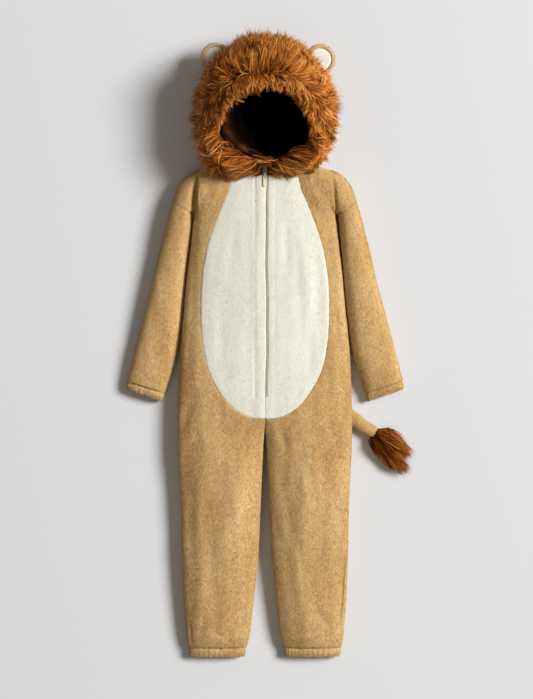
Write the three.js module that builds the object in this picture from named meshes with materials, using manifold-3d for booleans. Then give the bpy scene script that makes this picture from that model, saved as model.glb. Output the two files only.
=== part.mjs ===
// A child's lion costume, laid out flat on its back: a plush one-piece suit with a cream belly,
// a front zip, sleeves and legs gathered at the ends, a hood with a long-pile mane and two round
// ears, and a stuffed tail with a tuft.
//
// Millimetres. +X is to the right seen from above, +Y runs from the leg hems to the hood, and +Z
// is up from the surface that the costume lies on. The garment's own middle is x = 0 while the
// pieces are made. At the end the whole group moves so that the origin is under its middle.
//
// Each cloth form is a loft of cross-sections. The same loft taken in by the cloth's thickness is
// cut out of it, which leaves a wall, and the wall is then cut along the garment's seams.

import * as THREE from "three";
import { mergeVertices } from "three/addons/utils/BufferGeometryUtils.js";
import Module from "manifold-3d";

const wasm = await Module();
wasm.setup();

// Driving sizes
const CLOTH = 3; // plush cloth, its backing and its short pile
const LINING = 1.5; // the hood's plain inside
const SEAM = 0.3; // between two sewn pieces
const NECK_Y = 980; // where the suit ends and the hood begins
const CROTCH_Y = 478;
const DOME = 0.62; // how boxy a laid tube is: 1 is an ellipse, and less is flatter on top
const MANE_EDGE_Z = 56; // the seam between the long pile and the hood's plush back
const ZIP_HALF = 7; // half the width of the zip between the belly's two folded edges
const ZIP_BOTTOM_Y = 520;
const SLIDER_Y = 964;
const PARTING = 7; // half the width of the gap in the mane that the slider sits in
const SMOOTH = 0.12; // flat enough to drop an edge
const FAR = 2000; // past everything, for cutting

const table = (columns, rows) =>
  rows.map((row) => Object.fromEntries(columns.map((name, i) => [name, row[i]])));

// One half of the suit, from the leg hem to the neck. inner and outer are the distances of its two
// edges from the middle, top is its height, seam is the height of its side seam, and roll says how
// far the inner edge has turned down: 0 on the trunk, 1 on a leg.
const BODY = table(
  ["y", "inner", "outer", "top", "seam", "roll"],
  [
    [18, 37, 153.5, 31, 12, 1],
    [40, 31, 157, 39, 14, 1],
    [105, 23, 162, 44, 17, 1],
    [195, 14, 165.5, 48, 19, 1],
    [315, 8, 168.5, 52, 20, 1],
    [400, 4, 173, 55, 21, 1],
    [440, 2, 174, 57, 22, 0.94],
    [462, 0.6, 174.5, 59, 22, 0.72],
    [474, 0.15, 174.5, 60, 22, 0.35],
    [484, 0.15, 174.5, 60, 22, 0],
    [583, 0.15, 171, 60, 22, 0],
    [643, 0.15, 166.6, 59, 22, 0],
    [708, 0.15, 160, 59, 22, 0],
    [775, 0.15, 153.7, 60, 22, 0],
    [842, 0.15, 146.3, 61, 22, 0],
    [900, 0.15, 141, 62, 22, 0],
    [945, 0.15, 136, 62, 22, 0],
    [963, 0.15, 134, 62, 22, 0],
    [974, 0.15, 126, 62, 22, 0],
    [980, 0.15, 104, 62, 22, 0],
  ],
);

// The drop shoulder, from inside the trunk to the armhole seam. Each row is one cross-section,
// from its outer edge (ox, oy) to its inner edge (ix, iy).
const SHOULDER = table(
  ["ox", "oy", "ix", "iy", "top", "seam"],
  [
    [116, 976, 106, 935, 54, 22],
    [140, 971, 116, 915, 56, 22],
    [160, 958, 126, 898, 55, 22],
    [175, 936, 134, 887, 53, 22],
    [184, 908, 145.6, 884.5, 51, 22],
  ],
);

const SLEEVE = table(
  ["ox", "oy", "ix", "iy", "top", "seam"],
  [
    [184.2, 907.6, 145.8, 884.4, 51, 22],
    [191, 884, 148, 858, 50, 20],
    [200, 850, 151.5, 822, 48, 18],
    [213, 800, 156.5, 772, 46, 17],
    [226, 745, 162.5, 715, 44, 16],
    [240, 690, 168.5, 655, 42, 15],
    [253, 640, 177, 604, 39, 14],
    [266, 590, 190, 560, 36, 13],
    [276, 552, 201, 528, 30, 12],
  ],
);

const CUFF = table(
  ["ox", "oy", "ix", "iy", "top", "seam"],
  [
    [276.1, 551.7, 201.2, 527.7, 27, 11],
    [277.4, 544, 203.5, 520, 26, 11],
    [277.5, 536, 206.5, 512, 24, 11],
  ],
);

// The leg hem, as distances from the middle like BODY's.
const ANKLE = table(
  ["ox", "oy", "ix", "iy", "top", "seam"],
  [
    [151.5, 17.7, 39, 17.7, 28, 11],
    [151.5, 9, 39.5, 9, 27, 11],
    [150, 0, 41, 0, 25, 11],
  ],
);

// The hood's cloth: floor is how high its underside lies, which rounds off the crown.
const HOOD = table(
  ["y", "outer", "top", "seam", "floor"],
  [
    [980, 102, 62, 24, 0],
    [995, 112, 84, 34, 0],
    [1015, 118, 106, 44, 0],
    [1050, 122, 128, 52, 0],
    [1095, 122, 142, 52, 0],
    [1140, 116, 144, 52, 0],
    [1170, 103, 134, 52, 2],
    [1192, 82, 118, 52, 10],
    [1205, 58, 102, 52, 20],
    [1212, 30, 84, 52, 32],
    [1214, 12, 68, 52, 42],
  ],
);

// The tips of the mane's pile, from the chest to the crown.
const MANE = table(
  ["y", "outer", "top", "seam", "floor"],
  [
    [938, 36, 80, 64, 50],
    [946, 82, 90, 64, 50],
    [957, 108, 96, 64, 50],
    [972, 128, 106, 64, 50],
    [992, 139, 122, 64, 50],
    [1018, 146, 142, 64, 50],
    [1052, 150, 158, 64, 50],
    [1092, 149, 167, 64, 50],
    [1130, 142, 169, 64, 50],
    [1164, 124, 160, 64, 50],
    [1190, 106, 147, 64, 50],
    [1210, 88, 132, 64, 50],
    [1226, 66, 116, 64, 50],
    [1238, 40, 98, 64, 50],
    [1243, 16, 82, 64, 50],
  ],
);

// Half of the face opening's outline, and how far it widens with height, so that the pile rolls
// over its edge.
const FACE = table(
  ["x", "y"],
  [
    [0, 1142],
    [40, 1135],
    [72, 1112],
    [90, 1080],
    [91, 1046],
    [76, 1018],
    [46, 1000],
    [16, 990],
    [0, 986],
  ],
);
const FACE_CENTRE_Y = 1068;
const FACE_FLARE = table(
  ["z", "scale"],
  [
    [60, 0.97],
    [128, 1],
    [150, 1.06],
    [172, 1.22],
    [200, 1.5],
  ],
);

// Half of the cream belly's outline.
const BELLY = table(
  ["x", "y"],
  [
    [62, 990],
    [70, 941],
    [84, 906],
    [101, 862],
    [116, 814],
    [125.5, 758],
    [128, 692],
    [124.5, 630],
    [114, 578],
    [95, 538],
    [71, 506],
    [45, 487],
    [18, 478.6],
    [0, 478],
  ],
);

// The largest soft folds of the upper cloth: from (x1, y1) to (x2, y2), depth down or, if it is
// negative, up, and half its width. side is -1 for the wearer's right, which lies left of the zip.
const FOLDS = table(
  ["side", "x1", "y1", "x2", "y2", "depth", "width"],
  [
    [-1, 138, 905, 150, 640, 3.5, 9],
    [-1, 146, 520, 172, 430, 5, 10],
    [-1, 150, 330, 146, 120, 4, 12],
    [-1, 60, 420, 50, 130, -3, 22],
    [-1, 110, 300, 96, 60, 3, 16],
    [-1, 20, 900, 18, 560, -1.6, 8],
    [1, 134, 930, 168, 500, -3, 8],
    [1, 122, 900, 148, 600, 3, 10],
    [1, 104, 830, 110, 620, 3.5, 14],
    [1, 82, 430, 70, 60, -4, 20],
    [1, 116, 430, 112, 90, 3.5, 14],
    [1, 160, 230, 143, 30, 5, 6],
  ],
);

// The tail's middle line, its half width and its height. It starts in the seat's middle seam and
// lies flattened under the suit, which lifts over it.
const TAIL = table(
  ["x", "y", "half", "top"],
  [
    [2, 568, 10, 5],
    [24, 562, 12.5, 11],
    [52, 550, 14, 15],
    [98, 526, 14.5, 16],
    [148, 494, 14.5, 16.5],
    [176, 476, 14, 16.5],
    [196, 462, 13, 21],
    [213, 450, 12.5, 22],
  ],
);
const TAIL_LIFT = 0.8; // the cloth's clearance over the tail
const TUFT_LENGTH = 92;
const TUFT_LOCKS = 24;
const TUFT_DIRECTION = [0.71, -0.7];

// The ears, a little uneven as they lie, and the shape that both share.
const EARS = table(
  ["name", "side", "x", "y"],
  [
    ["left", -1, -99, 1197],
    ["right", 1, 110, 1194],
  ],
);
const EAR = { radius: 31, inner: 23, thick: 9, top: 55.6 };

const degrees = (angle) => (angle * Math.PI) / 180;

// The table's row at a value of its key, by a smooth curve through its rows.
function rowAt(rows, key, value) {
  const last = rows.length - 1;
  let i = 0;
  while (i < last - 1 && rows[i + 1][key] < value) i++;
  const span = rows[i + 1][key] - rows[i][key];
  const t = (value - rows[i][key]) / span;
  const found = {};
  for (const name of Object.keys(rows[0])) {
    const [a, b] = [rows[i][name], rows[i + 1][name]];
    const slope = (j) => {
      const [lo, hi] = [Math.max(j - 1, 0), Math.min(j + 1, last)];
      return ((rows[hi][name] - rows[lo][name]) / (rows[hi][key] - rows[lo][key])) * span;
    };
    const [m, n] = [slope(i), slope(i + 1)];
    const cubic = a + t * m + t * t * (3 * (b - a) - 2 * m - n) + t * t * t * (2 * (a - b) + m + n);
    found[name] = Math.min(Math.max(cubic, Math.min(a, b)), Math.max(a, b));
  }
  return found;
}

// The key's values at every row and, between two rows, at most step apart.
function stations(rows, key, step) {
  const found = [];
  rows.slice(1).forEach((row, i) => {
    const span = row[key] - rows[i][key];
    const parts = Math.max(1, Math.round(span / step));
    for (let k = 0; k < parts; k++) found.push(rows[i][key] + (span * k) / parts);
  });
  found.push(rows.at(-1)[key]);
  return found;
}

// How far the folds push the upper cloth down at a point.
function foldDepth(side, x, y) {
  let depth = 0;
  for (const f of FOLDS.filter((fold) => fold.side === side)) {
    const along = new THREE.Vector2(f.x2 - f.x1, f.y2 - f.y1);
    const from = new THREE.Vector2(x - f.x1, y - f.y1);
    const t = Math.min(Math.max(from.dot(along) / along.lengthSq(), 0), 1);
    const away = from.addScaledVector(along, -t).length() / f.width;
    depth += f.depth * Math.exp(-away * away) * Math.sin(Math.PI * Math.min(Math.max(t, 0.08), 0.92));
  }
  return depth;
}

// A closed solid from rings of equally many points.
function loft(rings) {
  const count = rings[0].length;
  const positions = rings.flat(2);
  const faces = [];
  for (let i = 0; i + 1 < rings.length; i++) {
    for (let j = 0; j < count; j++) {
      const [a, b] = [i * count + j, i * count + ((j + 1) % count)];
      faces.push(a, b, a + count, b, b + count, a + count);
    }
  }
  for (const [ring, base, flip] of [
    [rings[0], 0, true],
    [rings.at(-1), (rings.length - 1) * count, false],
  ]) {
    const centre = positions.length / 3;
    for (const axis of [0, 1, 2]) {
      positions.push(ring.reduce((sum, point) => sum + point[axis], 0) / count);
    }
    for (let j = 0; j < count; j++) {
      const [a, b] = [base + j, base + ((j + 1) % count)];
      faces.push(...(flip ? [centre, b, a] : [centre, a, b]));
    }
  }
  const geometry = new THREE.BufferGeometry();
  geometry.setAttribute("position", new THREE.Float32BufferAttribute(positions, 3));
  geometry.setIndex(faces);
  return solid(geometry);
}

// A closed geometry as a manifold-3d solid, turned to face outwards.
function solid(geometry) {
  const bare = geometry.clone();
  bare.deleteAttribute("normal");
  bare.deleteAttribute("uv");
  const merged = mergeVertices(bare, 1e-4);
  const triVerts = new Uint32Array(merged.index.array);
  const make = () =>
    new wasm.Manifold(
      new wasm.Mesh({ numProp: 3, vertProperties: merged.attributes.position.array, triVerts }),
    );
  const made = make();
  if (made.volume() > 0) return made;
  triVerts.reverse();
  return make();
}

function geometryOf(form) {
  const mesh = form.getMesh();
  const geometry = new THREE.BufferGeometry();
  const points = new Float32Array(mesh.numVert * 3);
  for (let i = 0; i < mesh.numVert; i++) {
    points.set(mesh.vertProperties.subarray(i * mesh.numProp, i * mesh.numProp + 3), i * 3);
  }
  geometry.setAttribute("position", new THREE.BufferAttribute(points, 3));
  geometry.setIndex(new THREE.BufferAttribute(mesh.triVerts, 1));
  geometry.computeVertexNormals();
  return geometry;
}

function block(x0, x1, y0, y1, z0, z1) {
  const geometry = new THREE.BoxGeometry(x1 - x0, y1 - y0, z1 - z0);
  return solid(geometry.translate((x0 + x1) / 2, (y0 + y1) / 2, (z0 + z1) / 2));
}

// The outline's prism from z0 to z1.
function prism(points, z0, z1) {
  const shape = new THREE.Shape(points.map((p) => new THREE.Vector2(...p)));
  const geometry = new THREE.ExtrudeGeometry(shape, { depth: z1 - z0, bevelEnabled: false });
  return solid(geometry.translate(0, 0, z0));
}

// The angles at which a laid tube's upper half is sampled from its inner edge, closer together
// near its edges. A whole half turn has two edges, and a quarter turn has one.
function upperAngles(start, count) {
  const found = [];
  for (let k = 0; k < count; k++) {
    const share = k / count;
    const spread = start > 1.8 ? 0.5 - 0.5 * Math.cos(Math.PI * (0.12 + 0.88 * share)) : share;
    found.push(start * Math.pow(1 - spread, 1.1));
  }
  return found;
}

const CORNER_ANGLES = [6, 34, 62, 90].map(degrees);
const ROLLED = 0.998; // the cosine at which a leg's inner edge stops just above its seam

// One half's cross-section, taken in by inset: over the top from the inner edge to the outer one,
// and back along the surface that it lies on.
function halfRing(row, side, inset, { open = false, folds = true, count = 12 } = {}) {
  const { y, top, seam } = row;
  const roll = row.roll ?? 0;
  const floor = (row.floor ?? 0) + inset;
  const outer = row.outer - inset;
  const inner = (row.inner ?? SEAM / 2) + (roll > 0 ? inset : 0);
  const reach = (outer - inner) / (1 + ROLLED * roll);
  const middle = outer - reach;
  const corner = Math.min(24, reach * 0.45);
  const ring = [];
  for (const angle of upperAngles(Math.acos(-ROLLED * roll), count)) {
    const x = middle + reach * Math.cos(angle);
    const rise = Math.pow(Math.max(Math.sin(angle), 0), DOME);
    const fold = folds ? foldDepth(side, x, y) * rise : 0;
    ring.push([side * x, y, seam + (top - inset - seam) * rise - fold]);
  }
  for (const angle of CORNER_ANGLES) {
    const x = outer - corner * (1 - Math.cos(angle));
    ring.push([side * x, y, seam - (seam - floor) * Math.sin(angle)]);
  }
  for (const angle of [...CORNER_ANGLES].reverse()) {
    const x = inner + corner * (1 - Math.cos(angle));
    ring.push([side * x, y, floor + roll * (seam - floor) * (1 - Math.sin(angle))]);
  }
  ring.push([side * (open ? -5 : inner), y, seam + (top - inset - seam) * 0.5 * (1 - roll)]);
  return ring;
}

// One half of the suit as a solid. The inset one is open at the leg's end, at the neck and, above
// the crotch, at the middle.
function bodyForm(side, inset) {
  const rings = stations(BODY, "y", 42).map((y) => {
    const drawn = inset * Math.min(Math.max((y - 930) / 45, 0), 1);
    const ring = halfRing(rowAt(BODY, "y", y), side, inset, { open: inset > 0 && y > CROTCH_Y });
    return moved(ring, -drawn);
  });
  rings[0] = moved(rings[0], inset > 0 ? -5 : SEAM / 2);
  if (!inset) {
    rings.push(moved(rings.pop(), -SEAM / 2));
    return loft(rings);
  }
  const neckRing = (y) => {
    const row = { ...BODY.at(-1), outer: HOOD[0].outer, y };
    return halfRing(row, side, inset, { open: true });
  };
  return loft(rings).add(loft([neckRing(NECK_Y - 40), neckRing(NECK_Y + 5)]));
}

const moved = (ring, dy) => ring.map(([x, y, z]) => [x, y + dy, z]);

// A limb's cross-section between its outer and inner edge, with waves gathers over its top.
function limbRing(row, side, inset, { count = 8, waves = 0, wave = 0 } = {}) {
  const [ox, oy, ix, iy] = [row.ox, row.oy, row.ix, row.iy];
  const half = Math.hypot(ox - ix, oy - iy) / 2;
  const place = (share) => {
    const t = (share * (half - inset)) / half;
    return [side * ((ox + ix) / 2 + (t * (ox - ix)) / 2), (oy + iy) / 2 + (t * (oy - iy)) / 2];
  };
  const { top, seam } = row;
  const corner = Math.min(20, half * 0.45) / half;
  const ring = [];
  for (let k = 0; k < count; k++) {
    const angle = degrees(176 - (172 * k) / (count - 1));
    const rise = Math.pow(Math.sin(angle), DOME);
    const gather = waves ? wave * Math.cos((2 * Math.PI * waves * k) / (count - 1)) * rise : 0;
    ring.push([...place(Math.cos(angle)), seam + (top - inset - seam) * rise + gather]);
  }
  for (const [sign, angles] of [
    [1, CORNER_ANGLES],
    [-1, [...CORNER_ANGLES].reverse()],
  ]) {
    for (const angle of angles) {
      const share = sign * (1 - corner * (1 - Math.cos(angle)));
      ring.push([...place(share), seam - (seam - inset) * Math.sin(angle)]);
    }
  }
  return ring;
}

// A limb as a solid, with its first and last ring moved out by the lengths in ends.
function limbForm(rows, side, inset, ends = [0, 0], options = {}) {
  const stretched = (row, other, by) => {
    const dx = (row.ox + row.ix - other.ox - other.ix) / 2;
    const dy = (row.oy + row.iy - other.oy - other.iy) / 2;
    const [ux, uy] = [(by * dx) / Math.hypot(dx, dy), (by * dy) / Math.hypot(dx, dy)];
    return { ...row, ox: row.ox + ux, oy: row.oy + uy, ix: row.ix + ux, iy: row.iy + uy };
  };
  const all = [...rows];
  if (ends[0]) all.unshift(stretched(rows[0], rows[1], ends[0]));
  if (ends[1]) all.push(stretched(rows.at(-1), rows.at(-2), ends[1]));
  return loft(all.map((row) => limbRing(row, side, inset, options)));
}

// The hollow or solid that the tail's lift cuts from the suit: a bell over the tail's line.
function tailTunnel(grow) {
  const start = { x: -34, y: 584, half: 4, top: -1.5 };
  const end = { x: 236, y: 436, half: 12.5, top: 20 };
  const rows = [start, ...TAIL.map((row) => ({ ...row, top: Math.min(row.top, 17) })), end];
  const rings = rows.map((row, i) => {
    const [a, b] = [rows[Math.max(i - 1, 0)], rows[Math.min(i + 1, rows.length - 1)]];
    const along = new THREE.Vector2(b.x - a.x, b.y - a.y).normalize();
    const top = row.top + TAIL_LIFT + grow;
    const half = row.half + grow;
    const profile = [
      [-(half + 22), -2],
      [-(half + 10), 1.5 + grow],
      [-(half + 2), Math.max(top * 0.74, 1.6 + grow)],
      [-half * 0.66, Math.max(top, 1.7 + grow)],
      [half * 0.66, Math.max(top, 1.7 + grow)],
      [half + 2, Math.max(top * 0.74, 1.6 + grow)],
      [half + 10, 1.5 + grow],
      [half + 22, -2],
    ];
    const low = row.top < 0;
    return profile.map(([across, z]) => [
      row.x - across * along.y,
      row.y + across * along.x,
      low ? Math.min(z, grow - 1) : z,
    ]);
  });
  return loft(rings);
}

// Everything above the side seams, raised or lowered by half a seam's gap.
function aboveSideSeam(gap) {
  const line = BODY.map((row) => [row.y, row.seam + gap]);
  const outline = [[-50, line[0][1]], ...line, [FAR, line.at(-1)[1]], [FAR, FAR], [-50, FAR]];
  return prism(outline, -FAR, FAR).rotate([90, 0, 90]);
}

// Cuts a form with a tool's inside and its outside, which leaves a seam between the two.
const seamed = (form, within, beyond) => [form.intersect(within), form.subtract(beyond)];

// The belly's outline, moved out by grow, as a prism.
function bellyPrism(grow) {
  const moved = BELLY.map((p) => new THREE.Vector2(p.x + grow, p.y - (p.x < 50 ? grow : 0)));
  const right = new THREE.SplineCurve(moved);
  const half = right.getPoints(34).map((p) => [p.x, p.y]);
  const left = [...half].reverse().map(([x, y]) => [-x, y]);
  return prism([...half.slice(0, -1), ...left.slice(1)], 20, 120);
}

// The face opening: the outline at each height, widened, as a funnel.
function faceFunnel() {
  const right = new THREE.SplineCurve(FACE.map((p) => new THREE.Vector2(p.x, p.y)));
  const half = right.getPoints(18).map((p) => [p.x, p.y]);
  const left = [...half].reverse().map(([x, y]) => [-x, y]);
  const outline = [...half.slice(0, -1), ...left.slice(0, -1)];
  return loft(
    FACE_FLARE.map(({ z, scale }) =>
      outline.map(([x, y]) => [x * scale, FACE_CENTRE_Y + (y - FACE_CENTRE_Y) * scale, z]),
    ),
  );
}

// One half of the hood as a solid, drawn in at the crown as well as at the sides.
function hoodForm(side, inset, open) {
  const [start, end] = [HOOD[0].y, HOOD.at(-1).y];
  const rings = stations(HOOD, "y", 36).map((y) => {
    const row = rowAt(HOOD, "y", y);
    const share = Math.max(0, (y - 1100) / (end - 1100));
    const thin = Math.min(inset, row.outer * 0.6);
    const drawn = { ...row, y: y - inset * share, top: row.top + (inset - thin) };
    return halfRing(drawn, side, thin, { open, folds: false, count: 12 });
  });
  const raised = inset > 0 ? [rings[0].map(([x, , z]) => [x, start - 5, z]), ...rings] : rings;
  return loft(raised);
}

// A fixed pattern from -1 to 1, for locks that lie unevenly.
const uneven = (i, j) => {
  const wave = Math.sin(i * 12.9898 + j * 78.233) * 43758.5453;
  return 2 * (wave - Math.floor(wave)) - 1;
};

// One half of the mane's outside, with its pile in uneven locks.
function maneForm(side) {
  const rings = stations(MANE, "y", 19).map((y, i) =>
    halfRing(rowAt(MANE, "y", y), side, 0, { folds: false, count: 16 }).map(([x, py, z], j) => {
      const lock = z > 66 && j > 0 ? 3.4 * uneven(i, j + (side > 0 ? 40 : 0)) : 0;
      const out = new THREE.Vector3(x, 0, z - 66).normalize();
      return [x + lock * out.x * 0.9, py, z + lock * out.z];
    }),
  );
  return loft(rings);
}

const MATERIALS = {
  plush: { color: 0xcaa067, roughness: 0.95 },
  cream: { color: 0xe9e6d6, roughness: 0.95 },
  fur: { color: 0x8a4f22, roughness: 0.8 },
  lining: { color: 0x3a2413, roughness: 0.9 },
  zip: { color: 0xe6dfba, roughness: 0.6 },
  enamel: { color: 0xe8e4cf, roughness: 0.35 },
};

const costume = new THREE.Group();

function add(name, material, form) {
  const finish = new THREE.MeshStandardMaterial({ metalness: 0, ...MATERIALS[material] });
  const mesh = new THREE.Mesh(geometryOf(form.simplify(SMOOTH)), finish);
  mesh.name = name;
  costume.add(mesh);
  return mesh;
}

const upper = aboveSideSeam(SEAM / 2);
const notLower = aboveSideSeam(-SEAM / 2);
const bellyInside = bellyPrism(-SEAM / 2);
const bellyOutside = bellyPrism(SEAM / 2);
const tunnel = tailTunnel(0);
const tunnelInside = tailTunnel(CLOTH);
const zipSlot = block(-ZIP_HALF, ZIP_HALF, ZIP_BOTTOM_Y, NECK_Y + 20, 40, 120);
const bodies = { left: bodyForm(-1, 0), right: bodyForm(1, 0) };

// The suit: a front, a back and half a belly on each side
function suit(name, side) {
  const outside = bodies[name].add(limbForm(SHOULDER, side, 0)).subtract(tunnel);
  const hollow = bodyForm(side, CLOTH)
    .add(limbForm(SHOULDER, side, CLOTH, [0, 6]))
    .subtract(tunnelInside);
  const wall = outside.subtract(hollow);
  const [front, back] = seamed(wall, upper, notLower);
  const [belly, plush] = seamed(front.subtract(zipSlot), bellyInside, bellyOutside);
  add(`front_${name}`, "plush", largest(plush));
  add(`back_${name}`, "plush", largest(back));
  add(`belly_${name}`, "cream", largest(belly));
}

// The largest connected piece of a form, without the crumbs that cutting leaves.
function largest(form) {
  return form.decompose().sort((a, b) => b.volume() - a.volume())[0];
}

// The sleeve, a tube from the armhole to the stitch line, and its gathered cuff
function sleeve(name, side) {
  const wall = limbForm(SLEEVE, side, 0).subtract(limbForm(SLEEVE, side, CLOTH, [4, 4]));
  add(`sleeve_${name}`, "plush", wall);
}

// An elastic casing: the cloth turned up double, gathered over its top
function casing(name, rows, side) {
  const shape = { count: 25, waves: 6, wave: 1 };
  const outside = limbForm(rows, side, 0, [0, 0], shape);
  add(name, "plush", outside.subtract(limbForm(rows, side, CLOTH + 1, [4, 4])));
}

// The hood: the mane's long pile in front, the plush back, and the lining that shows inside
function hood(name, side) {
  const funnel = faceFunnel();
  const hollow = hoodForm(side, CLOTH, true);
  const cloth = hoodForm(side, 0, false).subtract(hollow);
  const below = block(-FAR, FAR, -FAR, FAR, -FAR, MANE_EDGE_Z - SEAM / 2);
  const above = block(-FAR, FAR, -FAR, FAR, MANE_EDGE_Z + SEAM / 2, FAR);
  const seamGap = block(-FAR, FAR, -FAR, NECK_Y + SEAM / 2, -FAR, FAR);
  const parting = block(-PARTING, PARTING, SLIDER_Y - 60, SLIDER_Y + 28, 40, FAR);
  const pile = maneForm(side)
    .add(hoodForm(side, 0, false))
    .intersect(above)
    .subtract(hollow)
    .subtract(suitClearance(side))
    .subtract(parting)
    .subtract(funnel);
  add(`mane_${name}`, "fur", largest(pile));
  add(`hood_back_${name}`, "plush", largest(cloth.intersect(below).subtract(seamGap)));
  const lining = hoodForm(side, CLOTH + SEAM, false)
    .subtract(hoodForm(side, CLOTH + SEAM + LINING, true))
    .subtract(funnel)
    .subtract(seamGap);
  add(`hood_lining_${name}`, "lining", largest(lining));
  return hoodForm(side, -SEAM, false);
}

// The suit's outside with a little room, for the pile that lies over it
function suitClearance(side) {
  const rows = BODY.filter((row) => row.y > 880);
  const rings = stations(rows, "y", 34).map((y) => {
    const row = rowAt(rows, "y", y);
    const larger = { ...row, top: row.top + 0.6, outer: row.outer + 0.6, inner: -1 };
    return halfRing(larger, side, 0, { folds: false });
  });
  const shoulder = SHOULDER.map((row) => ({ ...row, top: row.top + 1 }));
  const last = rings.at(-1).map(([x, , z]) => [x, NECK_Y + SEAM / 2, z]);
  return loft([...rings.slice(0, -1), last]).add(limbForm(shoulder, side, -0.6));
}

// A round ear: its plush back and rim, and the cream disc let into its front
function ear(name, x, y, hoodOutside) {
  const half = EAR.thick / 2;
  const profile = [
    [0, -half],
    [EAR.radius - 6, -half],
    [EAR.radius - 1.5, -half * 0.62],
    [EAR.radius, 0],
    [EAR.radius - 1.5, half * 0.62],
    [EAR.radius - 6, half],
    [0, half],
  ].map((p) => new THREE.Vector2(...p));
  const place = (geometry) => solid(geometry.rotateX(Math.PI / 2).translate(x, y, EAR.top - half));
  const whole = place(new THREE.LatheGeometry(profile, 24));
  const disc = (radius, depth) => {
    const geometry = new THREE.CylinderGeometry(radius, radius, depth + 2, 24);
    return place(geometry.translate(0, half + 1 - depth / 2, 0));
  };
  const recess = disc(EAR.inner + SEAM, 3 + SEAM);
  const cream = disc(EAR.inner, 3).intersect(whole);
  add(`ear_${name}_back`, "plush", largest(whole.subtract(recess).subtract(hoodOutside)));
  add(`ear_${name}_inner`, "cream", largest(cream.subtract(hoodOutside)));
}

// A strip along the zip, from x0 to x1 either way, that keeps its depth under the belly's top
function zipStrip(x0, x1, low, high, y0, y1) {
  const rings = [];
  for (let y = y0; y <= y1 + 0.01; y += (y1 - y0) / 14) {
    const top = rowAt(BODY, "y", Math.min(y, NECK_Y)).top;
    rings.push([
      [x0, y, top + low],
      [x1, y, top + low],
      [x1, y, top + high],
      [x0, y, top + high],
    ]);
  }
  return loft(rings);
}

// The zip: a tape on each side, the closed chain of teeth, the slider and its pull tab
const CHAIN_HALF = 2.4;
const PULL = { width: 7, length: 23, thick: 1.2, bar: 1.1, window: 3.2 };

function zip() {
  const [low, high] = [ZIP_BOTTOM_Y + 1, NECK_Y - 4];
  add("zip_tape_left", "zip", zipStrip(-ZIP_HALF + SEAM, -CHAIN_HALF - SEAM, -2.6, -1.6, low, high));
  add("zip_tape_right", "zip", zipStrip(CHAIN_HALF + SEAM, ZIP_HALF - SEAM, -2.6, -1.6, low, high));
  add("zip_chain", "zip", zipStrip(-CHAIN_HALF, CHAIN_HALF, -3.4, -0.6, low, high));
  const base = rowAt(BODY, "y", SLIDER_Y).top - 0.6 + SEAM;
  const plate = new THREE.Shape([
    new THREE.Vector2(-3.2, -6),
    new THREE.Vector2(3.2, -6),
    new THREE.Vector2(4.4, 2),
    new THREE.Vector2(3.4, 6),
    new THREE.Vector2(-3.4, 6),
    new THREE.Vector2(-4.4, 2),
  ]);
  const body = new THREE.ExtrudeGeometry(plate, { depth: 1.8, bevelEnabled: false });
  const bridge = new THREE.Shape([
    new THREE.Vector2(5, 0),
    new THREE.Vector2(4, 4.6),
    new THREE.Vector2(-4, 4.6),
    new THREE.Vector2(-5, 0),
  ]);
  bridge.holes.push(
    new THREE.Path([
      new THREE.Vector2(-3.2, 0.9),
      new THREE.Vector2(-3.2, 3.6),
      new THREE.Vector2(3.2, 3.6),
      new THREE.Vector2(3.2, 0.9),
    ]),
  );
  const arch = new THREE.ExtrudeGeometry(bridge, { depth: 2, bevelEnabled: false });
  arch.rotateX(Math.PI / 2).rotateZ(Math.PI / 2).translate(-1, 0, 1.4);
  const slider = solid(body).add(solid(arch)).translate([0, SLIDER_Y, base]);
  add("zip_slider", "enamel", slider);
  const pivotZ = base + 3.3;
  const pivotY = SLIDER_Y - 1.6;
  const outline = new THREE.Shape([
    new THREE.Vector2(-PULL.width / 2 + 0.8, PULL.bar / 2),
    new THREE.Vector2(-PULL.width / 2, -1.5),
    new THREE.Vector2(-PULL.width / 2, -PULL.length + 3),
    new THREE.Vector2(-PULL.width / 2 + 2, -PULL.length),
    new THREE.Vector2(PULL.width / 2 - 2, -PULL.length),
    new THREE.Vector2(PULL.width / 2, -PULL.length + 3),
    new THREE.Vector2(PULL.width / 2, -1.5),
    new THREE.Vector2(PULL.width / 2 - 0.8, PULL.bar / 2),
  ]);
  const window = [
    [-PULL.window / 2, -PULL.bar / 2],
    [-PULL.window / 2, -6.4],
    [PULL.window / 2, -6.4],
    [PULL.window / 2, -PULL.bar / 2],
  ];
  outline.holes.push(new THREE.Path(window.map((p) => new THREE.Vector2(...p))));
  const tab = new THREE.ExtrudeGeometry(outline, { depth: PULL.thick, bevelEnabled: false });
  tab.translate(0, pivotY, pivotZ - PULL.thick / 2);
  add("zip_pull", "enamel", solid(tab));
}

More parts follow.
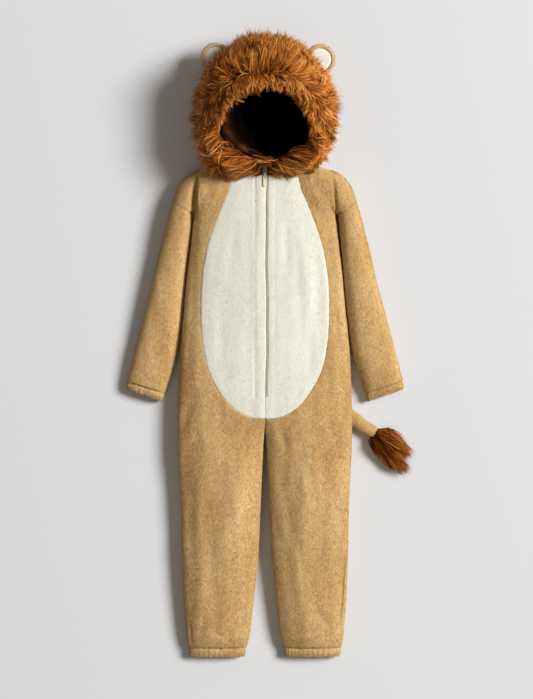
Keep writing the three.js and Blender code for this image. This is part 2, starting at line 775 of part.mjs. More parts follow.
// The tail: a stuffed tube, and a tuft of locks fused in a small head
function tail() {
  const rows = TAIL.map((row, i) => {
    const [a, b] = [TAIL[Math.max(i - 1, 0)], TAIL[Math.min(i + 1, TAIL.length - 1)]];
    const along = new THREE.Vector2(b.x - a.x, b.y - a.y).normalize();
    const [dx, dy] = [along.y * row.half, -along.x * row.half];
    const [ox, oy, ix, iy] = [row.x - dx, row.y - dy, row.x + dx, row.y + dy];
    return { ox, oy, ix, iy, top: row.top, seam: row.top * 0.42 };
  });
  add("tail", "plush", limbForm(rows, 1, 0, [0, 0], { count: 9 }));
  const last = TAIL.at(-1);
  const along = new THREE.Vector3(...TUFT_DIRECTION, 0).normalize();
  const across = new THREE.Vector3(-along.y, along.x, 0);
  const root = new THREE.Vector3(last.x, last.y, last.top / 2).addScaledVector(along, 9);
  const head = new THREE.SphereGeometry(1, 14, 9).scale(9, 15, 10.6);
  head.rotateZ(Math.atan2(along.y, along.x)).translate(root.x, root.y, root.z);
  const cut = block(-4, 0, -60, 60, -60, 60)
    .rotate([0, 0, (Math.atan2(last.y - TAIL.at(-2).y, last.x - TAIL.at(-2).x) * 180) / Math.PI])
    .translate([last.x, last.y, 0])
    .translate([0.3 * along.x, 0.3 * along.y, 0]);
  let tuft = solid(head);
  for (let i = 0; i < TUFT_LOCKS; i++) {
    const turn = i * 2.39996;
    const spread = Math.sqrt((i + 0.5) / TUFT_LOCKS);
    const fan = spread * Math.cos(turn);
    const lift = spread * Math.sin(turn);
    const length = TUFT_LENGTH * (1 - 0.3 * spread * spread) * (1 + 0.08 * uneven(i, 3));
    const rings = [0, 0.55, 1].map((t) => {
      const middle = root
        .clone()
        .addScaledVector(along, 2 + t * (length - 12))
        .addScaledVector(across, fan * (9 + 15 * Math.sin(t * 1.5)) + 2 * t * uneven(i, 7));
      middle.z = root.z + lift * (6.4 + 5 * Math.sin(t * 2.4)) - 1.5 * t;
      const radius = 4.6 * (1 - 0.82 * t);
      return [0, 1, 2].map((k) => {
        const around = turn + (k * 2 * Math.PI) / 3;
        const point = middle.clone().addScaledVector(across, radius * Math.cos(around));
        return [point.x, point.y, Math.max(point.z + radius * Math.sin(around), 0.6)];
      });
    });
    tuft = tuft.add(loft(rings));
  }
  add("tail_tuft", "fur", largest(tuft.subtract(cut)));
}

for (const { name, side, x, y } of EARS) {
  suit(name, side);
  sleeve(name, side);
  casing(`cuff_${name}`, CUFF, side);
  casing(`ankle_${name}`, ANKLE, side);
  const hoodOutside = hood(name, side);
  ear(name, x, y, hoodOutside);
}
zip();
tail();

// The origin is on the surface under the middle of the whole costume
const bounds = new THREE.Box3().setFromObject(costume);
const middle = bounds.getCenter(new THREE.Vector3());
costume.position.set(-middle.x, -middle.y, -bounds.min.z);

export default costume;
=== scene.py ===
"""The looks of the lion costume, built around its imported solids.

Lengths in the tables are millimetres in the garment's own frame: x from its middle line, y from
the leg hems and z from the surface that it lies on. place() turns them into the row's metres.
"""

import math

import bpy
import numpy as np
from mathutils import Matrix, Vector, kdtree


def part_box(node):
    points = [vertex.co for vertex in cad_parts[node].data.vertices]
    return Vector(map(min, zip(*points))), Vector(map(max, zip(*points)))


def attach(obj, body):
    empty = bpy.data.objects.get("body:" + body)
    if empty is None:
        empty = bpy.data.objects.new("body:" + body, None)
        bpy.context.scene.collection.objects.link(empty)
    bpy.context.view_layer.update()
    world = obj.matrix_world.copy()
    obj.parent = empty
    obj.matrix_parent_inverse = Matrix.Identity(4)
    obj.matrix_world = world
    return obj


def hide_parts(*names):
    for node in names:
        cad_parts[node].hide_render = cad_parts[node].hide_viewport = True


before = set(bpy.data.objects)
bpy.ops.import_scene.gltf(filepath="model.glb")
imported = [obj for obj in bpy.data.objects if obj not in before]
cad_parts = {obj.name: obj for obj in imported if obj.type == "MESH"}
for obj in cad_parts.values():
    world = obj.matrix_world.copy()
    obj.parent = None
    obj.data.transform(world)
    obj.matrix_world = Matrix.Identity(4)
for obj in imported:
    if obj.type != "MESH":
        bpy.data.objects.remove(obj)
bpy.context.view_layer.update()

chain_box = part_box("zip_chain")
SHIFT = np.array([(chain_box[0][0] + chain_box[1][0]) / 2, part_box("ankle_left")[0][1], 0.0])
SIDES = {"left": -1, "right": 1}


def place(points):
    """Garment millimetres as metres in the row frame."""
    return np.asarray(points, dtype=float) / 1000.0 + SHIFT


def table(columns, rows):
    return {name: np.array([row[i] for row in rows], dtype=float) for i, name in enumerate(columns)}


def clamp(value):
    """The value, kept from 0 to 1."""
    return np.minimum(np.maximum(value, 0), 1)


def bell(away, width, power=2):
    """1 where away is 0, falling off within that width."""
    return np.exp(-((away / width) ** power))


def unit(vectors, least=1e-9):
    """The vectors at length 1."""
    return vectors / np.maximum(np.linalg.norm(vectors, axis=-1, keepdims=True), least)


# The same driving sizes as the solids have
DOME = 0.62
ROLLED = 0.998
NECK_Y = 980.0
CROTCH_Y = 478.0
ZIP_BOTTOM_Y = 520.0

BODY = table(
    ["y", "inner", "outer", "top", "seam", "roll"],
    [
        [18, 37, 153.5, 31, 12, 1],
        [40, 31, 157, 39, 14, 1],
        [105, 23, 162, 44, 17, 1],
        [195, 14, 165.5, 48, 19, 1],
        [315, 8, 168.5, 52, 20, 1],
        [400, 4, 173, 55, 21, 1],
        [440, 2, 174, 57, 22, 0.94],
        [462, 0.6, 174.5, 59, 22, 0.72],
        [474, 0.15, 174.5, 60, 22, 0.35],
        [484, 0.15, 174.5, 60, 22, 0],
        [583, 0.15, 171, 60, 22, 0],
        [643, 0.15, 166.6, 59, 22, 0],
        [708, 0.15, 160, 59, 22, 0],
        [775, 0.15, 153.7, 60, 22, 0],
        [842, 0.15, 146.3, 61, 22, 0],
        [900, 0.15, 141, 62, 22, 0],
        [945, 0.15, 136, 62, 22, 0],
        [963, 0.15, 134, 62, 22, 0],
        [974, 0.15, 126, 62, 22, 0],
        [980, 0.15, 104, 62, 22, 0],
    ],
)
LIMB = ["ox", "oy", "ix", "iy", "top", "seam"]
SHOULDER = table(
    LIMB,
    [
        [116, 976, 106, 935, 54, 22],
        [140, 971, 116, 915, 56, 22],
        [160, 958, 126, 898, 55, 22],
        [175, 936, 134, 887, 53, 22],
        [184, 908, 145.6, 884.5, 51, 22],
    ],
)
SLEEVE = table(
    LIMB,
    [
        [184.2, 907.6, 145.8, 884.4, 51, 22],
        [191, 884, 148, 858, 50, 20],
        [200, 850, 151.5, 822, 48, 18],
        [213, 800, 156.5, 772, 46, 17],
        [226, 745, 162.5, 715, 44, 16],
        [240, 690, 168.5, 655, 42, 15],
        [253, 640, 177, 604, 39, 14],
        [266, 590, 190, 560, 36, 13],
        [276, 552, 201, 528, 30, 12],
    ],
)
CUFF = table(
    LIMB,
    [
        [276.1, 551.7, 201.2, 527.7, 27, 11],
        [277.4, 544, 203.5, 520, 26, 11],
        [277.5, 536, 206.5, 512, 24, 11],
    ],
)
ANKLE = table(
    LIMB,
    [
        [151.5, 17.7, 39, 17.7, 28, 11],
        [151.5, 9, 39.5, 9, 27, 11],
        [150, 0, 41, 0, 25, 11],
    ],
)
HOOD = table(
    ["y", "outer", "top", "seam", "floor"],
    [
        [980, 102, 62, 24, 0],
        [995, 112, 84, 34, 0],
        [1015, 118, 106, 44, 0],
        [1050, 122, 128, 52, 0],
        [1095, 122, 142, 52, 0],
        [1140, 116, 144, 52, 0],
        [1170, 103, 134, 52, 2],
        [1192, 82, 118, 52, 10],
        [1205, 58, 102, 52, 20],
        [1212, 30, 84, 52, 32],
        [1214, 12, 68, 52, 42],
        [1216, 1.5, 54, 52, 50],
    ],
)
# The cloth under the mane's pile
MANE_BASE = table(
    ["y", "outer", "top"],
    [
        [962, 30, 70],
        [967, 66, 71],
        [975, 92, 76],
        [986, 108, 88],
        [1005, 117, 106],
        [1050, 123.5, 132],
        [1095, 123.5, 146],
        [1140, 118, 148],
        [1172, 105, 138],
        [1196, 83, 122],
        [1210, 58, 104],
        [1218, 30, 86],
        [1220, 12, 74],
        [1222, 1.5, 58],
    ],
)
MANE_SEAM_Z = 51.0
FACE_CENTRE_Y = 1068.0
FACE = np.array(
    [[0, 1142], [40, 1135], [72, 1112], [90, 1080], [91, 1046], [76, 1018], [46, 1000], [16, 990], [0, 986]],
    dtype=float,
)
BELLY = np.array(
    [
        [62, 990], [70, 941], [84, 906], [101, 862], [116, 814], [125.5, 758], [128, 692],
        [124.5, 630], [114, 578], [95, 538], [71, 506], [45, 487], [18, 478.6], [0, 478],
    ],
    dtype=float,
)
# Folds: side, from x and y, to x and y, depth and half width
FOLDS = [
    [-1, 138, 905, 150, 640, 3.5, 9],
    [-1, 146, 520, 172, 430, 5, 10],
    [-1, 150, 330, 146, 120, 4, 12],
    [-1, 60, 420, 50, 130, -3, 22],
    [-1, 110, 300, 96, 60, 3, 16],
    [-1, 20, 900, 18, 560, -1.6, 8],
    [1, 134, 930, 168, 500, -3, 8],
    [1, 122, 900, 148, 600, 3, 10],
    [1, 104, 830, 110, 620, 3.5, 14],
    [1, 82, 430, 70, 60, -4, 20],
    [1, 116, 430, 112, 90, 3.5, 14],
    [1, 160, 230, 143, 30, 5, 6],
]
# Smaller creases that only the looks have, in the same terms
CREASES = [
    [-1, 60, 30, 120, 60, 1.6, 6],
    [-1, 100, 70, 150, 40, 2.4, 6],
    [-1, 130, 120, 158, 84, 2.0, 7],
    [-1, 20, 470, 60, 420, 1.8, 8],
    [-1, 30, 300, 70, 250, 1.2, 14],
    [-1, 118, 470, 160, 400, 1.6, 10],
    [-1, 60, 890, 70, 760, 1.0, 10],
    [-1, 90, 700, 84, 560, 0.9, 12],
    [1, 20, 470, 52, 400, 2.0, 8],
    [1, 30, 250, 60, 130, 1.4, 12],
    [1, 60, 40, 120, 60, 1.8, 6],
    [1, 92, 100, 138, 50, 2.2, 7],
    [1, 40, 900, 46, 720, 1.2, 9],
    [1, 62, 860, 74, 640, 1.5, 9],
    [1, 96, 700, 88, 560, 1.6, 8],
    [1, 150, 480, 120, 420, 1.4, 10],
    [1, 163, 260, 148, 22, 4.5, 3.2],
    [-1, 150, 70, 146, 22, 3.0, 3.2],
]
# The trunk's edge goes on over the shoulder as a crease: from, to, and on each side its depth and width
SHOULDER_CREASE = [(144, 868), (133, 966)]
CREASE_DEPTH = {-1: 17.0, 1: 6.0}
CREASE_WIDTH = {-1: 9.0, 1: 5.5}
CREASE_INNER_WIDTH = 2.0
# On each side, how deep the armhole seam sinks and how far the sleeve dips beside the trunk
SEAM_DEPTH = {-1: 0.1, 1: 0.8}
SLEEVE_TUCK = {-1: 0.8, 1: 0.22}
# The tail's line: x, y, half width and top
TAIL = np.array(
    [
        [2, 568, 10, 5], [24, 562, 12.5, 11], [52, 550, 14, 15], [98, 526, 14.5, 16],
        [148, 494, 14.5, 16.5], [176, 476, 14, 16.5], [198, 461, 13, 21], [219, 447, 12.5, 22],
    ],
    dtype=float,
)
TUFT_DIRECTION = np.array([0.71, -0.7])
EARS = {"left": (-98.0, 1195.5, 51.1), "right": (110.0, 1193.0, 51.1)}
UPWARD = np.array([0.0, 0.0, 1.0])
# The lowest that cloth and pile come to the surface that they lie on
CLOTH_FLOOR = 0.35
PILE_FLOOR = 0.3


def track(rows, column, at, key="y"):
    """The table's column at a key value, by a smooth curve through its rows."""
    keys, values = rows[key], rows[column]
    at = np.asarray(at, dtype=float)
    last = len(keys) - 1
    i = np.clip(np.searchsorted(keys, at, side="left") - 1, 0, last - 1)
    span = keys[i + 1] - keys[i]
    t = clamp((at - keys[i]) / span)
    a, b = values[i], values[i + 1]

    def slope(j):
        lo, hi = np.maximum(j - 1, 0), np.minimum(j + 1, last)
        return (values[hi] - values[lo]) / (keys[hi] - keys[lo]) * span

    m, n = slope(i), slope(i + 1)
    cubic = a + t * m + t * t * (3 * (b - a) - 2 * m - n) + t**3 * (2 * (a - b) + m + n)
    return np.clip(cubic, np.minimum(a, b), np.maximum(a, b))


def spline(points, count):
    """That many points along a smooth curve through the given ones."""
    padded = np.vstack([2 * points[0] - points[1], points, 2 * points[-1] - points[-2]])
    where = np.linspace(0, len(points) - 1 - 1e-9, count)
    i = where.astype(int)
    t = (where - i)[:, None]
    p0, p1, p2, p3 = (padded[i + k] for k in range(4))
    return 0.5 * (
        2 * p1 + (p2 - p0) * t + (2 * p0 - 5 * p1 + 4 * p2 - p3) * t**2 + (3 * p1 - p0 - 3 * p2 + p3) * t**3
    )


def ripple(points, size, seed, waves=22):
    """A smooth random pattern over points, from about -1 to 1, with features of that size."""
    rng = np.random.default_rng(seed)
    directions = rng.normal(size=(waves, 3))
    directions /= np.linalg.norm(directions, axis=1)[:, None]
    scales = 2 * math.pi / size * rng.uniform(0.6, 1.5, waves)
    phases = rng.uniform(0, 2 * math.pi, waves)
    total = np.zeros(points.shape[:-1])
    for direction, scale, phase in zip(directions, scales, phases):
        total += np.sin(points @ (direction * scale) + phase)
    return total / math.sqrt(waves / 2) / 1.6


def ripples(points, size, seed):
    """Such a pattern for each of the three directions."""
    return np.stack([ripple(points, size, seed + k) for k in range(3)], axis=-1)


def beside_line(x, y, x1, y1, x2, y2):
    """Each point's share of the way along a line, and its distance from it."""
    dx, dy = x2 - x1, y2 - y1
    share = clamp(((x - x1) * dx + (y - y1) * dy) / (dx * dx + dy * dy))
    return share, np.hypot(x - x1 - share * dx, y - y1 - share * dy)


def fold_depth(side, x, y):
    """How far the folds and creases push the upper cloth down at points of one side."""
    depth = np.zeros(np.broadcast(x, y).shape)
    for fold_side, x1, y1, x2, y2, deep, width in FOLDS + CREASES:
        if fold_side == side:
            share, away = beside_line(x, y, x1, y1, x2, y2)
            depth += deep * bell(away, width) * np.sin(math.pi * np.clip(share, 0.08, 0.92))
    return depth


def section(y):
    """A body cross-section's middle, reach, top and seam height."""
    inner, outer, roll = (track(BODY, name, y) for name in ("inner", "outer", "roll"))
    reach = (outer - inner) / (1 + ROLLED * roll)
    return outer - reach, reach, track(BODY, "top", y), track(BODY, "seam", y)


def shoulder_crease(side, x, y):
    """How far the shoulder drops beside the trunk: steeply at the trunk's edge and slowly outward."""
    (x1, y1), (x2, y2) = SHOULDER_CREASE
    share = (y - y1) / (y2 - y1)
    away = x - x1 - share * (x2 - x1)
    fall = bell(away, np.where(away < 0, CREASE_INNER_WIDTH, CREASE_WIDTH[side]))
    return CREASE_DEPTH[side] * fall * clamp((1 - share) / 0.4) * clamp((share + 0.2) / 0.2)


def shoulder_grid(side):
    """The upper half of the drop shoulder, from inside the trunk to the armhole seam."""
    tuck = np.linspace(0, SLEEVE_TUCK[side], 40)[:, None]
    grid = limb_grid(SHOULDER, side, 120, 40, tucked=tuck)[:, :61]
    grid[..., 2] -= shoulder_crease(side, np.abs(grid[..., 0]), grid[..., 1])
    return grid


def over_shoulder(side, x, y, body):
    """Heights of the front where it goes over the drop shoulder and down into its crease."""
    cap = limb_grid(SHOULDER, 1, 64, 26)[:, :33].reshape(-1, 3)
    plan = np.stack([x, y], axis=-1)
    weight = bell(np.linalg.norm(plan[:, None] - cap[None, :, :2], axis=-1), 5)
    total = weight.sum(axis=1)
    height = np.sum(weight * cap[None, :, 2], axis=1) / np.maximum(total, 1e-9)
    level = 61 - 0.0017 * np.maximum(x - 70, 0) ** 2
    raised = clamp((y - 870) / 40) * clamp((x - belly_x(y) - 4) / 18)
    body = body + np.maximum(level - body, 0) * raised * (x < 134)
    soft = 5.0
    joined = soft * np.logaddexp(body / soft, height / soft)
    share = clamp(total / 2) * clamp((y - 880) / 30)
    return body + (joined - body) * share - shoulder_crease(side, x, y)


def front_grid(side, ys, starts, columns):
    """Points of the upper cloth from x = starts to the side seam, row by row."""
    middle, reach, top, seam = (value[:, None] for value in section(ys))
    first = np.arccos(np.clip((starts[:, None] - middle) / reach, -1, 1))
    share = np.linspace(0, 1, columns)[None, :]
    angle = first * (1 - share) ** 1.15
    x = middle + reach * np.cos(angle)
    rise = np.maximum(np.sin(angle), 0) ** DOME
    y = np.broadcast_to(ys[:, None], x.shape)
    from_side_seam, from_inner_leg = middle + reach - x, x - middle + reach
    trunk = clamp((y - 540) / 60) * clamp((930 - y) / 40)
    leg = clamp((460 - y) / 80)
    down = fold_depth(side, x, y) + 2.5 * trunk * bell(from_side_seam, 7)
    down = down + 3.5 * leg * bell(from_side_seam, 22) + 5 * leg * bell(from_inner_leg, 22)
    z = seam + (top - seam) * rise - down * rise
    near = (y > 870) & (x > 70)
    z[near] = over_shoulder(side, x[near], y[near], z[near])
    return np.stack([side * x, y, z], axis=-1)


def tail_lift(x, y):
    """How far the back lifts over the tail under it."""
    best = np.full(np.shape(x), 1e9)
    height = np.zeros(np.shape(x))
    for (x1, y1, _, top1), (x2, y2, _, top2) in zip(TAIL[:-1], TAIL[1:]):
        share, away = beside_line(x, y, x1, y1, x2, y2)
        nearer = away < best
        best = np.where(nearer, away, best)
        height = np.where(nearer, np.minimum(top1 + share * (top2 - top1), 17), height)
    return (height + 2.2) / (1 + np.exp((best - 20) / 3.2))


def back_grid(side, ys, columns, flat_share=0.68, inner_share=0.2):
    """Points of the under cloth from the middle to the side seam."""
    inner, roll = (track(BODY, name, ys)[:, None] for name in ("inner", "roll"))
    _, reach, _, seam = (value[:, None] for value in section(ys))
    outer = track(BODY, "outer", ys)[:, None]
    corner = np.minimum(24, reach * 0.45)
    share = np.linspace(0, 1, columns)[None, :]
    rolled = roll > 0.02
    turn = clamp((share - flat_share) / (1 - flat_share)) * math.pi / 2
    inward = clamp(1 - share / inner_share) * math.pi / 2 * roll
    first = inner + corner * (1 - np.sin(inward)) * rolled + 0.15 * ~rolled
    last = outer - corner
    flat = clamp((share - inner_share * rolled) / (flat_share - inner_share * rolled))
    x = np.where(turn > 0, last + corner * np.sin(turn), first + (last - inner - corner * rolled) * flat)
    z = seam * (1 - np.where(turn > 0, np.cos(turn), np.cos(inward)))
    y = np.broadcast_to(ys[:, None], x.shape)
    lift = tail_lift(side * x, y)
    return np.stack([side * x, y, np.maximum(z, np.minimum(lift, seam + 2))], axis=-1)


def limb_grid(rows, side, count, steps, waves=0, wave=0.0, puff=0.0, tucked=0.0):
    """Rings of a limb's tube, from its first section to its last."""
    index = np.arange(len(rows["ox"]), dtype=float)
    keyed = {**rows, "k": index}
    at = np.linspace(0, len(index) - 1, steps)
    ox, oy, ix, iy, top, seam = (track(keyed, name, at, "k")[:, None] for name in LIMB)
    half = np.hypot(ox - ix, oy - iy) / 2
    around = np.linspace(0, 2 * math.pi, count, endpoint=False)[None, :]
    across = np.cos(around)
    rise = np.abs(np.sin(around)) ** DOME
    corner = np.minimum(20, half * 0.45) / half
    upper = np.sin(around) >= 0
    low_share = np.where(np.abs(across) > 1 - corner, (np.abs(across) - 1 + corner) / corner, 0)
    low = seam * (1 - np.sqrt(clamp(1 - low_share**2)))
    swell = puff * np.sin(np.pi * np.linspace(0, 1, steps))[:, None]
    tuck = 1 - tucked * np.exp(-(((across + 1) / 0.26) ** 2))
    gather = wave * np.cos(waves * around + 1.4 * np.sin(3 * around)) * (0.7 + 0.3 * np.sin(5 * around + 1))
    z = np.where(upper, seam + (top + swell - seam) * rise * tuck + gather * rise, low)
    x = side * ((ox + ix) / 2 + across * (ox - ix) / 2)
    y = (oy + iy) / 2 + across * (oy - iy) / 2
    return np.stack([x, y + 0 * z, z], axis=-1)


def normals_of(grid, closed):
    """Unit normals of a grid's points, by the differences of their neighbours."""
    down = np.gradient(grid, axis=0)
    if closed:
        across = np.roll(grid, -1, axis=1) - np.roll(grid, 1, axis=1)
    else:
        across = np.gradient(grid, axis=1)
    return unit(np.cross(across, down))


def edge_drop(grid, edges, depth, width):
    """A pillowed edge: how far each point sinks near the named edges of the grid."""
    drop = np.zeros(grid.shape[:2])
    for edge in edges:
        line = {"start": grid[0], "end": grid[-1], "first": grid[:, 0], "last": grid[:, -1]}[edge]
        if edge in ("start", "end"):
            away = np.linalg.norm(grid - line[None, :, :], axis=-1)
        else:
            away = np.linalg.norm(grid - line[:, None, :], axis=-1)
        drop = np.maximum(drop, depth * bell(away, width, 1.4))
    return drop


def grid_faces(rows, columns, closed, offset=0, flip=False):
    """The quads of a grid of points, whose rows close into rings or not."""
    row, here = np.meshgrid(np.arange(rows - 1), np.arange(columns if closed else columns - 1), indexing="ij")
    after = (here + 1) % columns
    above, below = row * columns, (row + 1) * columns
    quads = np.stack([above + here, above + after, below + after, below + here], axis=-1)
    quads = quads.reshape(-1, 4) + offset
    return quads[:, ::-1] if flip else quads


def mesh_object(name, points, faces, material, shade=None, normals=None):
    """A mesh object from garment points and faces, all of one size."""
    points, faces = place(points), np.asarray(faces)
    mesh = bpy.data.meshes.new(name)
    size = faces.shape[1]
    mesh.vertices.add(len(points))
    mesh.vertices.foreach_set("co", points.astype(np.float32).ravel())
    mesh.loops.add(faces.size)
    mesh.loops.foreach_set("vertex_index", faces.astype(np.int32).ravel())
    mesh.polygons.add(len(faces))
    mesh.polygons.foreach_set("loop_start", np.arange(0, faces.size, size, dtype=np.int32))
    mesh.update(calc_edges=True)
    mesh.validate()
    mesh.polygons.foreach_set("use_smooth", np.ones(len(mesh.polygons), dtype=bool))
    if shade is not None:
        attribute = mesh.attributes.new("shade", "FLOAT", "POINT")
        attribute.data.foreach_set("value", clamp(shade).astype(np.float32))
    if normals is not None:
        mesh.normals_split_custom_set_from_vertices(normals.astype(np.float32))
    mesh.materials.append(material)
    obj = bpy.data.objects.new(name, mesh)
    bpy.context.scene.collection.objects.link(obj)
    return obj


class Cloth:
    """The skins of one piece: shells of cloth that join into one mesh, and where its pile grows."""

    def __init__(self, kind, side_name, seed):
        self.piece, self.seed = f"{kind}_{side_name}", seed
        self.points, self.faces, self.skins, self.tones = [], [], [], []
        self.count = 0

    def shell(
        self, grid, thick=2.6, closed=False, edges=(), depth=2.4, width=5.0,
        lumps=1.0, outward=UPWARD, grows=True, tone=0.0,
    ):
        """Adds a wall of cloth whose outside is the grid, uneven and sunk towards its seams."""
        normal = normals_of(grid, closed)
        if np.sum(normal * outward) < 0:
            normal = -normal
        calm = 1 - 0.75 * edge_drop(grid, edges, 1.0, 14.0) if edges else 1.0
        drape = grid * [1, 0.28, 1]
        bumps = 1.7 * ripple(drape, 70, self.seed) + 0.8 * ripple(drape, 32, self.seed + 1)
        bumps += 0.08 * ripple(grid, 19, self.seed + 2)
        rise = lumps * bumps * calm * 0.8 - edge_drop(grid, edges, depth, width)
        outer = grid + normal * rise[..., None]
        outer[..., 2] = np.maximum(outer[..., 2], CLOTH_FLOOR)
        inner = outer - normal * thick
        inner[..., 2] = np.maximum(inner[..., 2], CLOTH_FLOOR + 0.55)

        rows, columns = grid.shape[:2]
        a, b = self.count, self.count + rows * columns
        quads = grid_faces(rows, columns, closed)
        p, q, r = (outer.reshape(-1, 3)[quads[:, k]] for k in (0, 1, 3))
        wrong = np.sum(np.cross(q - p, r - p) * normal.reshape(-1, 3)[quads[:, 0]]) < 0
        self.faces.append(grid_faces(rows, columns, closed, a, wrong))
        self.faces.append(grid_faces(rows, columns, closed, b, not wrong))

        def rim(start, end):
            return np.stack([a + start, a + end, b + end, b + start], axis=-1)

        steps = np.arange(columns if closed else columns - 1)
        after = (steps + 1) % columns
        last = (rows - 1) * columns
        rims = [rim(steps, after), rim(steps + last, after + last)[:, ::-1]]
        if not closed:
            up = np.arange(rows - 1) * columns
            right = up + columns - 1
            rims += [rim(up, up + columns)[:, ::-1], rim(right, right + columns)]
        rims = np.vstack(rims)
        self.faces.append(rims if wrong else rims[:, ::-1])
        self.points += [outer.reshape(-1, 3), inner.reshape(-1, 3)]
        self.tones.append(np.tile(np.broadcast_to(tone, (rows, columns)).ravel(), 2))
        self.count += 2 * rows * columns
        if grows:
            self.skins.append((outer, normal, closed))

    def build(self, material):
        points, faces, tones = np.vstack(self.points), np.vstack(self.faces), np.concatenate(self.tones)
        return mesh_object(f"{self.piece}_cloth", points, faces, material, tones)


def scatter(skins, count, rng):
    """Random places on the skins, even by area, as (points, normals)."""
    corners, upward, areas = [], [], []
    for outer, normal, closed in skins:
        quads = grid_faces(*outer.shape[:2], closed)
        for order in ((0, 1, 2), (0, 2, 3)):
            triangles = quads[:, order]
            at = outer.reshape(-1, 3)[triangles]
            corners.append(at)
            upward.append(normal.reshape(-1, 3)[triangles])
            areas.append(np.linalg.norm(np.cross(at[:, 1] - at[:, 0], at[:, 2] - at[:, 0]), axis=1))
    weights = np.concatenate(areas)
    chosen = rng.choice(len(weights), size=count, p=weights / weights.sum())
    u, v = rng.random((count, 1)), rng.random((count, 1))
    over = u + v > 1
    u[over], v[over] = 1 - u[over], 1 - v[over]

    def blend(parts):
        first, second, third = np.vstack(parts)[chosen].swapaxes(0, 1)
        return first * (1 - u - v) + second * u + third * v

    return blend(corners), unit(blend(upward))


# Painted light on the left flank: its pile is made paler as if more light fell there; its middle, its reach and the
# added tone
FLANK_PAINTED_LIGHT = {"x": -128, "width": 22, "y": 720, "length": 150, "tone": 0.42}
# How the pile's blades darken towards their two feet and lighten at the tip
BLADE_TONES = [-0.2, -0.2, 0.12]


def plush_pile(
    name, skins, count, material, seed, length=3.1, nap=(0.0, -1.0, 0.0), rough=0.16, spread=0.29
):
    """Short pile: one small blade for each of count places, in soft clumps that lie with the nap."""
    rng = np.random.default_rng(seed)
    root, normal = scatter(skins, count, rng)
    lie = np.array(nap) + 0.2 * ripples(root, 34, seed) + rough * ripples(root, 5, seed + 10)
    lie = lie + 0.45 * rng.normal(size=root.shape)
    lie = unit(lie - np.sum(lie * normal, axis=1)[:, None] * normal, 1e-6)
    stand = np.clip(0.18 + 0.05 * ripple(root, 5, seed + 20) + 0.26 * rng.random(count), 0.1, 0.6)
    long = length * (0.8 + 0.06 * ripple(root, 5, seed + 21) + 0.3 * rng.random(count))
    along = long * np.sqrt(np.maximum(1 - stand**2, 0.05))
    tip = root + normal * (long * stand)[:, None] + lie * along[:, None]
    side = unit(np.cross(normal, lie + 0.6 * rng.normal(size=root.shape)), 1e-6)
    wide = 0.6 + 0.35 * rng.random(count)
    base = root - normal * 0.4
    for points in (tip, base):
        points[:, 2] = np.maximum(points[:, 2], PILE_FLOOR)
    own = unit(np.cross(side, tip - base))
    away = np.sum(own * normal, axis=1) < 0
    own[away], side[away] = -own[away], -side[away]
    half = side * wide[:, None]
    points = np.stack([base - half, base + half, tip], axis=1).reshape(-1, 3)
    broad, fine = ripple(root * [1, 0.25, 1], 26, seed + 30), ripple(root * [1, 0.6, 1], 5, seed + 31)
    tone = 0.5 + 0.07 * broad + 0.07 * fine + spread * rng.normal(size=count)
    # Painted light: the left flank's pile is lightened by where it lies on the garment
    flank_painted_light = bell(root[:, 0] - FLANK_PAINTED_LIGHT["x"], FLANK_PAINTED_LIGHT["width"]) * bell(root[:, 1] - FLANK_PAINTED_LIGHT["y"], FLANK_PAINTED_LIGHT["length"], 4)
    tone = tone + FLANK_PAINTED_LIGHT["tone"] * flank_painted_light
    shade = (tone[:, None] + BLADE_TONES).ravel()
    facing = normal * 0.72 + own * 0.28 + 0.6 * UPWARD + 0.22 * rng.normal(size=root.shape)
    facing = np.repeat(unit(facing), 3, axis=0)
    return mesh_object(name, points, np.arange(len(points)).reshape(-1, 3), material, shade, facing)


# Materials


class Nodes:
    """Short calls for building a node material."""

    def __init__(self, name):
        self.material = bpy.data.materials.new(name)
        self.material.use_nodes = True
        self.tree = self.material.node_tree
        self.shader = self.tree.nodes["Principled BSDF"]

    def add(self, kind, **values):
        node = self.tree.nodes.new(kind)
        for key, value in values.items():
            if key in node.inputs:
                node.inputs[key].default_value = value
            else:
                setattr(node, key, value)
        return node

    def link(self, out, into):
        self.tree.links.new(out, into)

    def set(self, **values):
        for key, value in values.items():
            self.shader.inputs[key.replace("_", " ")].default_value = value

    def ramp(self, stops):
        node = self.add("ShaderNodeValToRGB")
        elements = node.color_ramp.elements
        while len(elements) < len(stops):
            elements.new(0.5)
        for element, (at, colour) in zip(elements, stops):
            element.position = at
            element.color = (*colour, 1)
        return node


def srgb(r, g, b):
    """A colour given as it looks on screen, 0 to 255, as the linear values that shaders take."""
    screen = [c / 255 for c in (r, g, b)]
    return tuple(c / 12.92 if c <= 0.04045 else ((c + 0.055) / 1.055) ** 2.4 for c in screen)


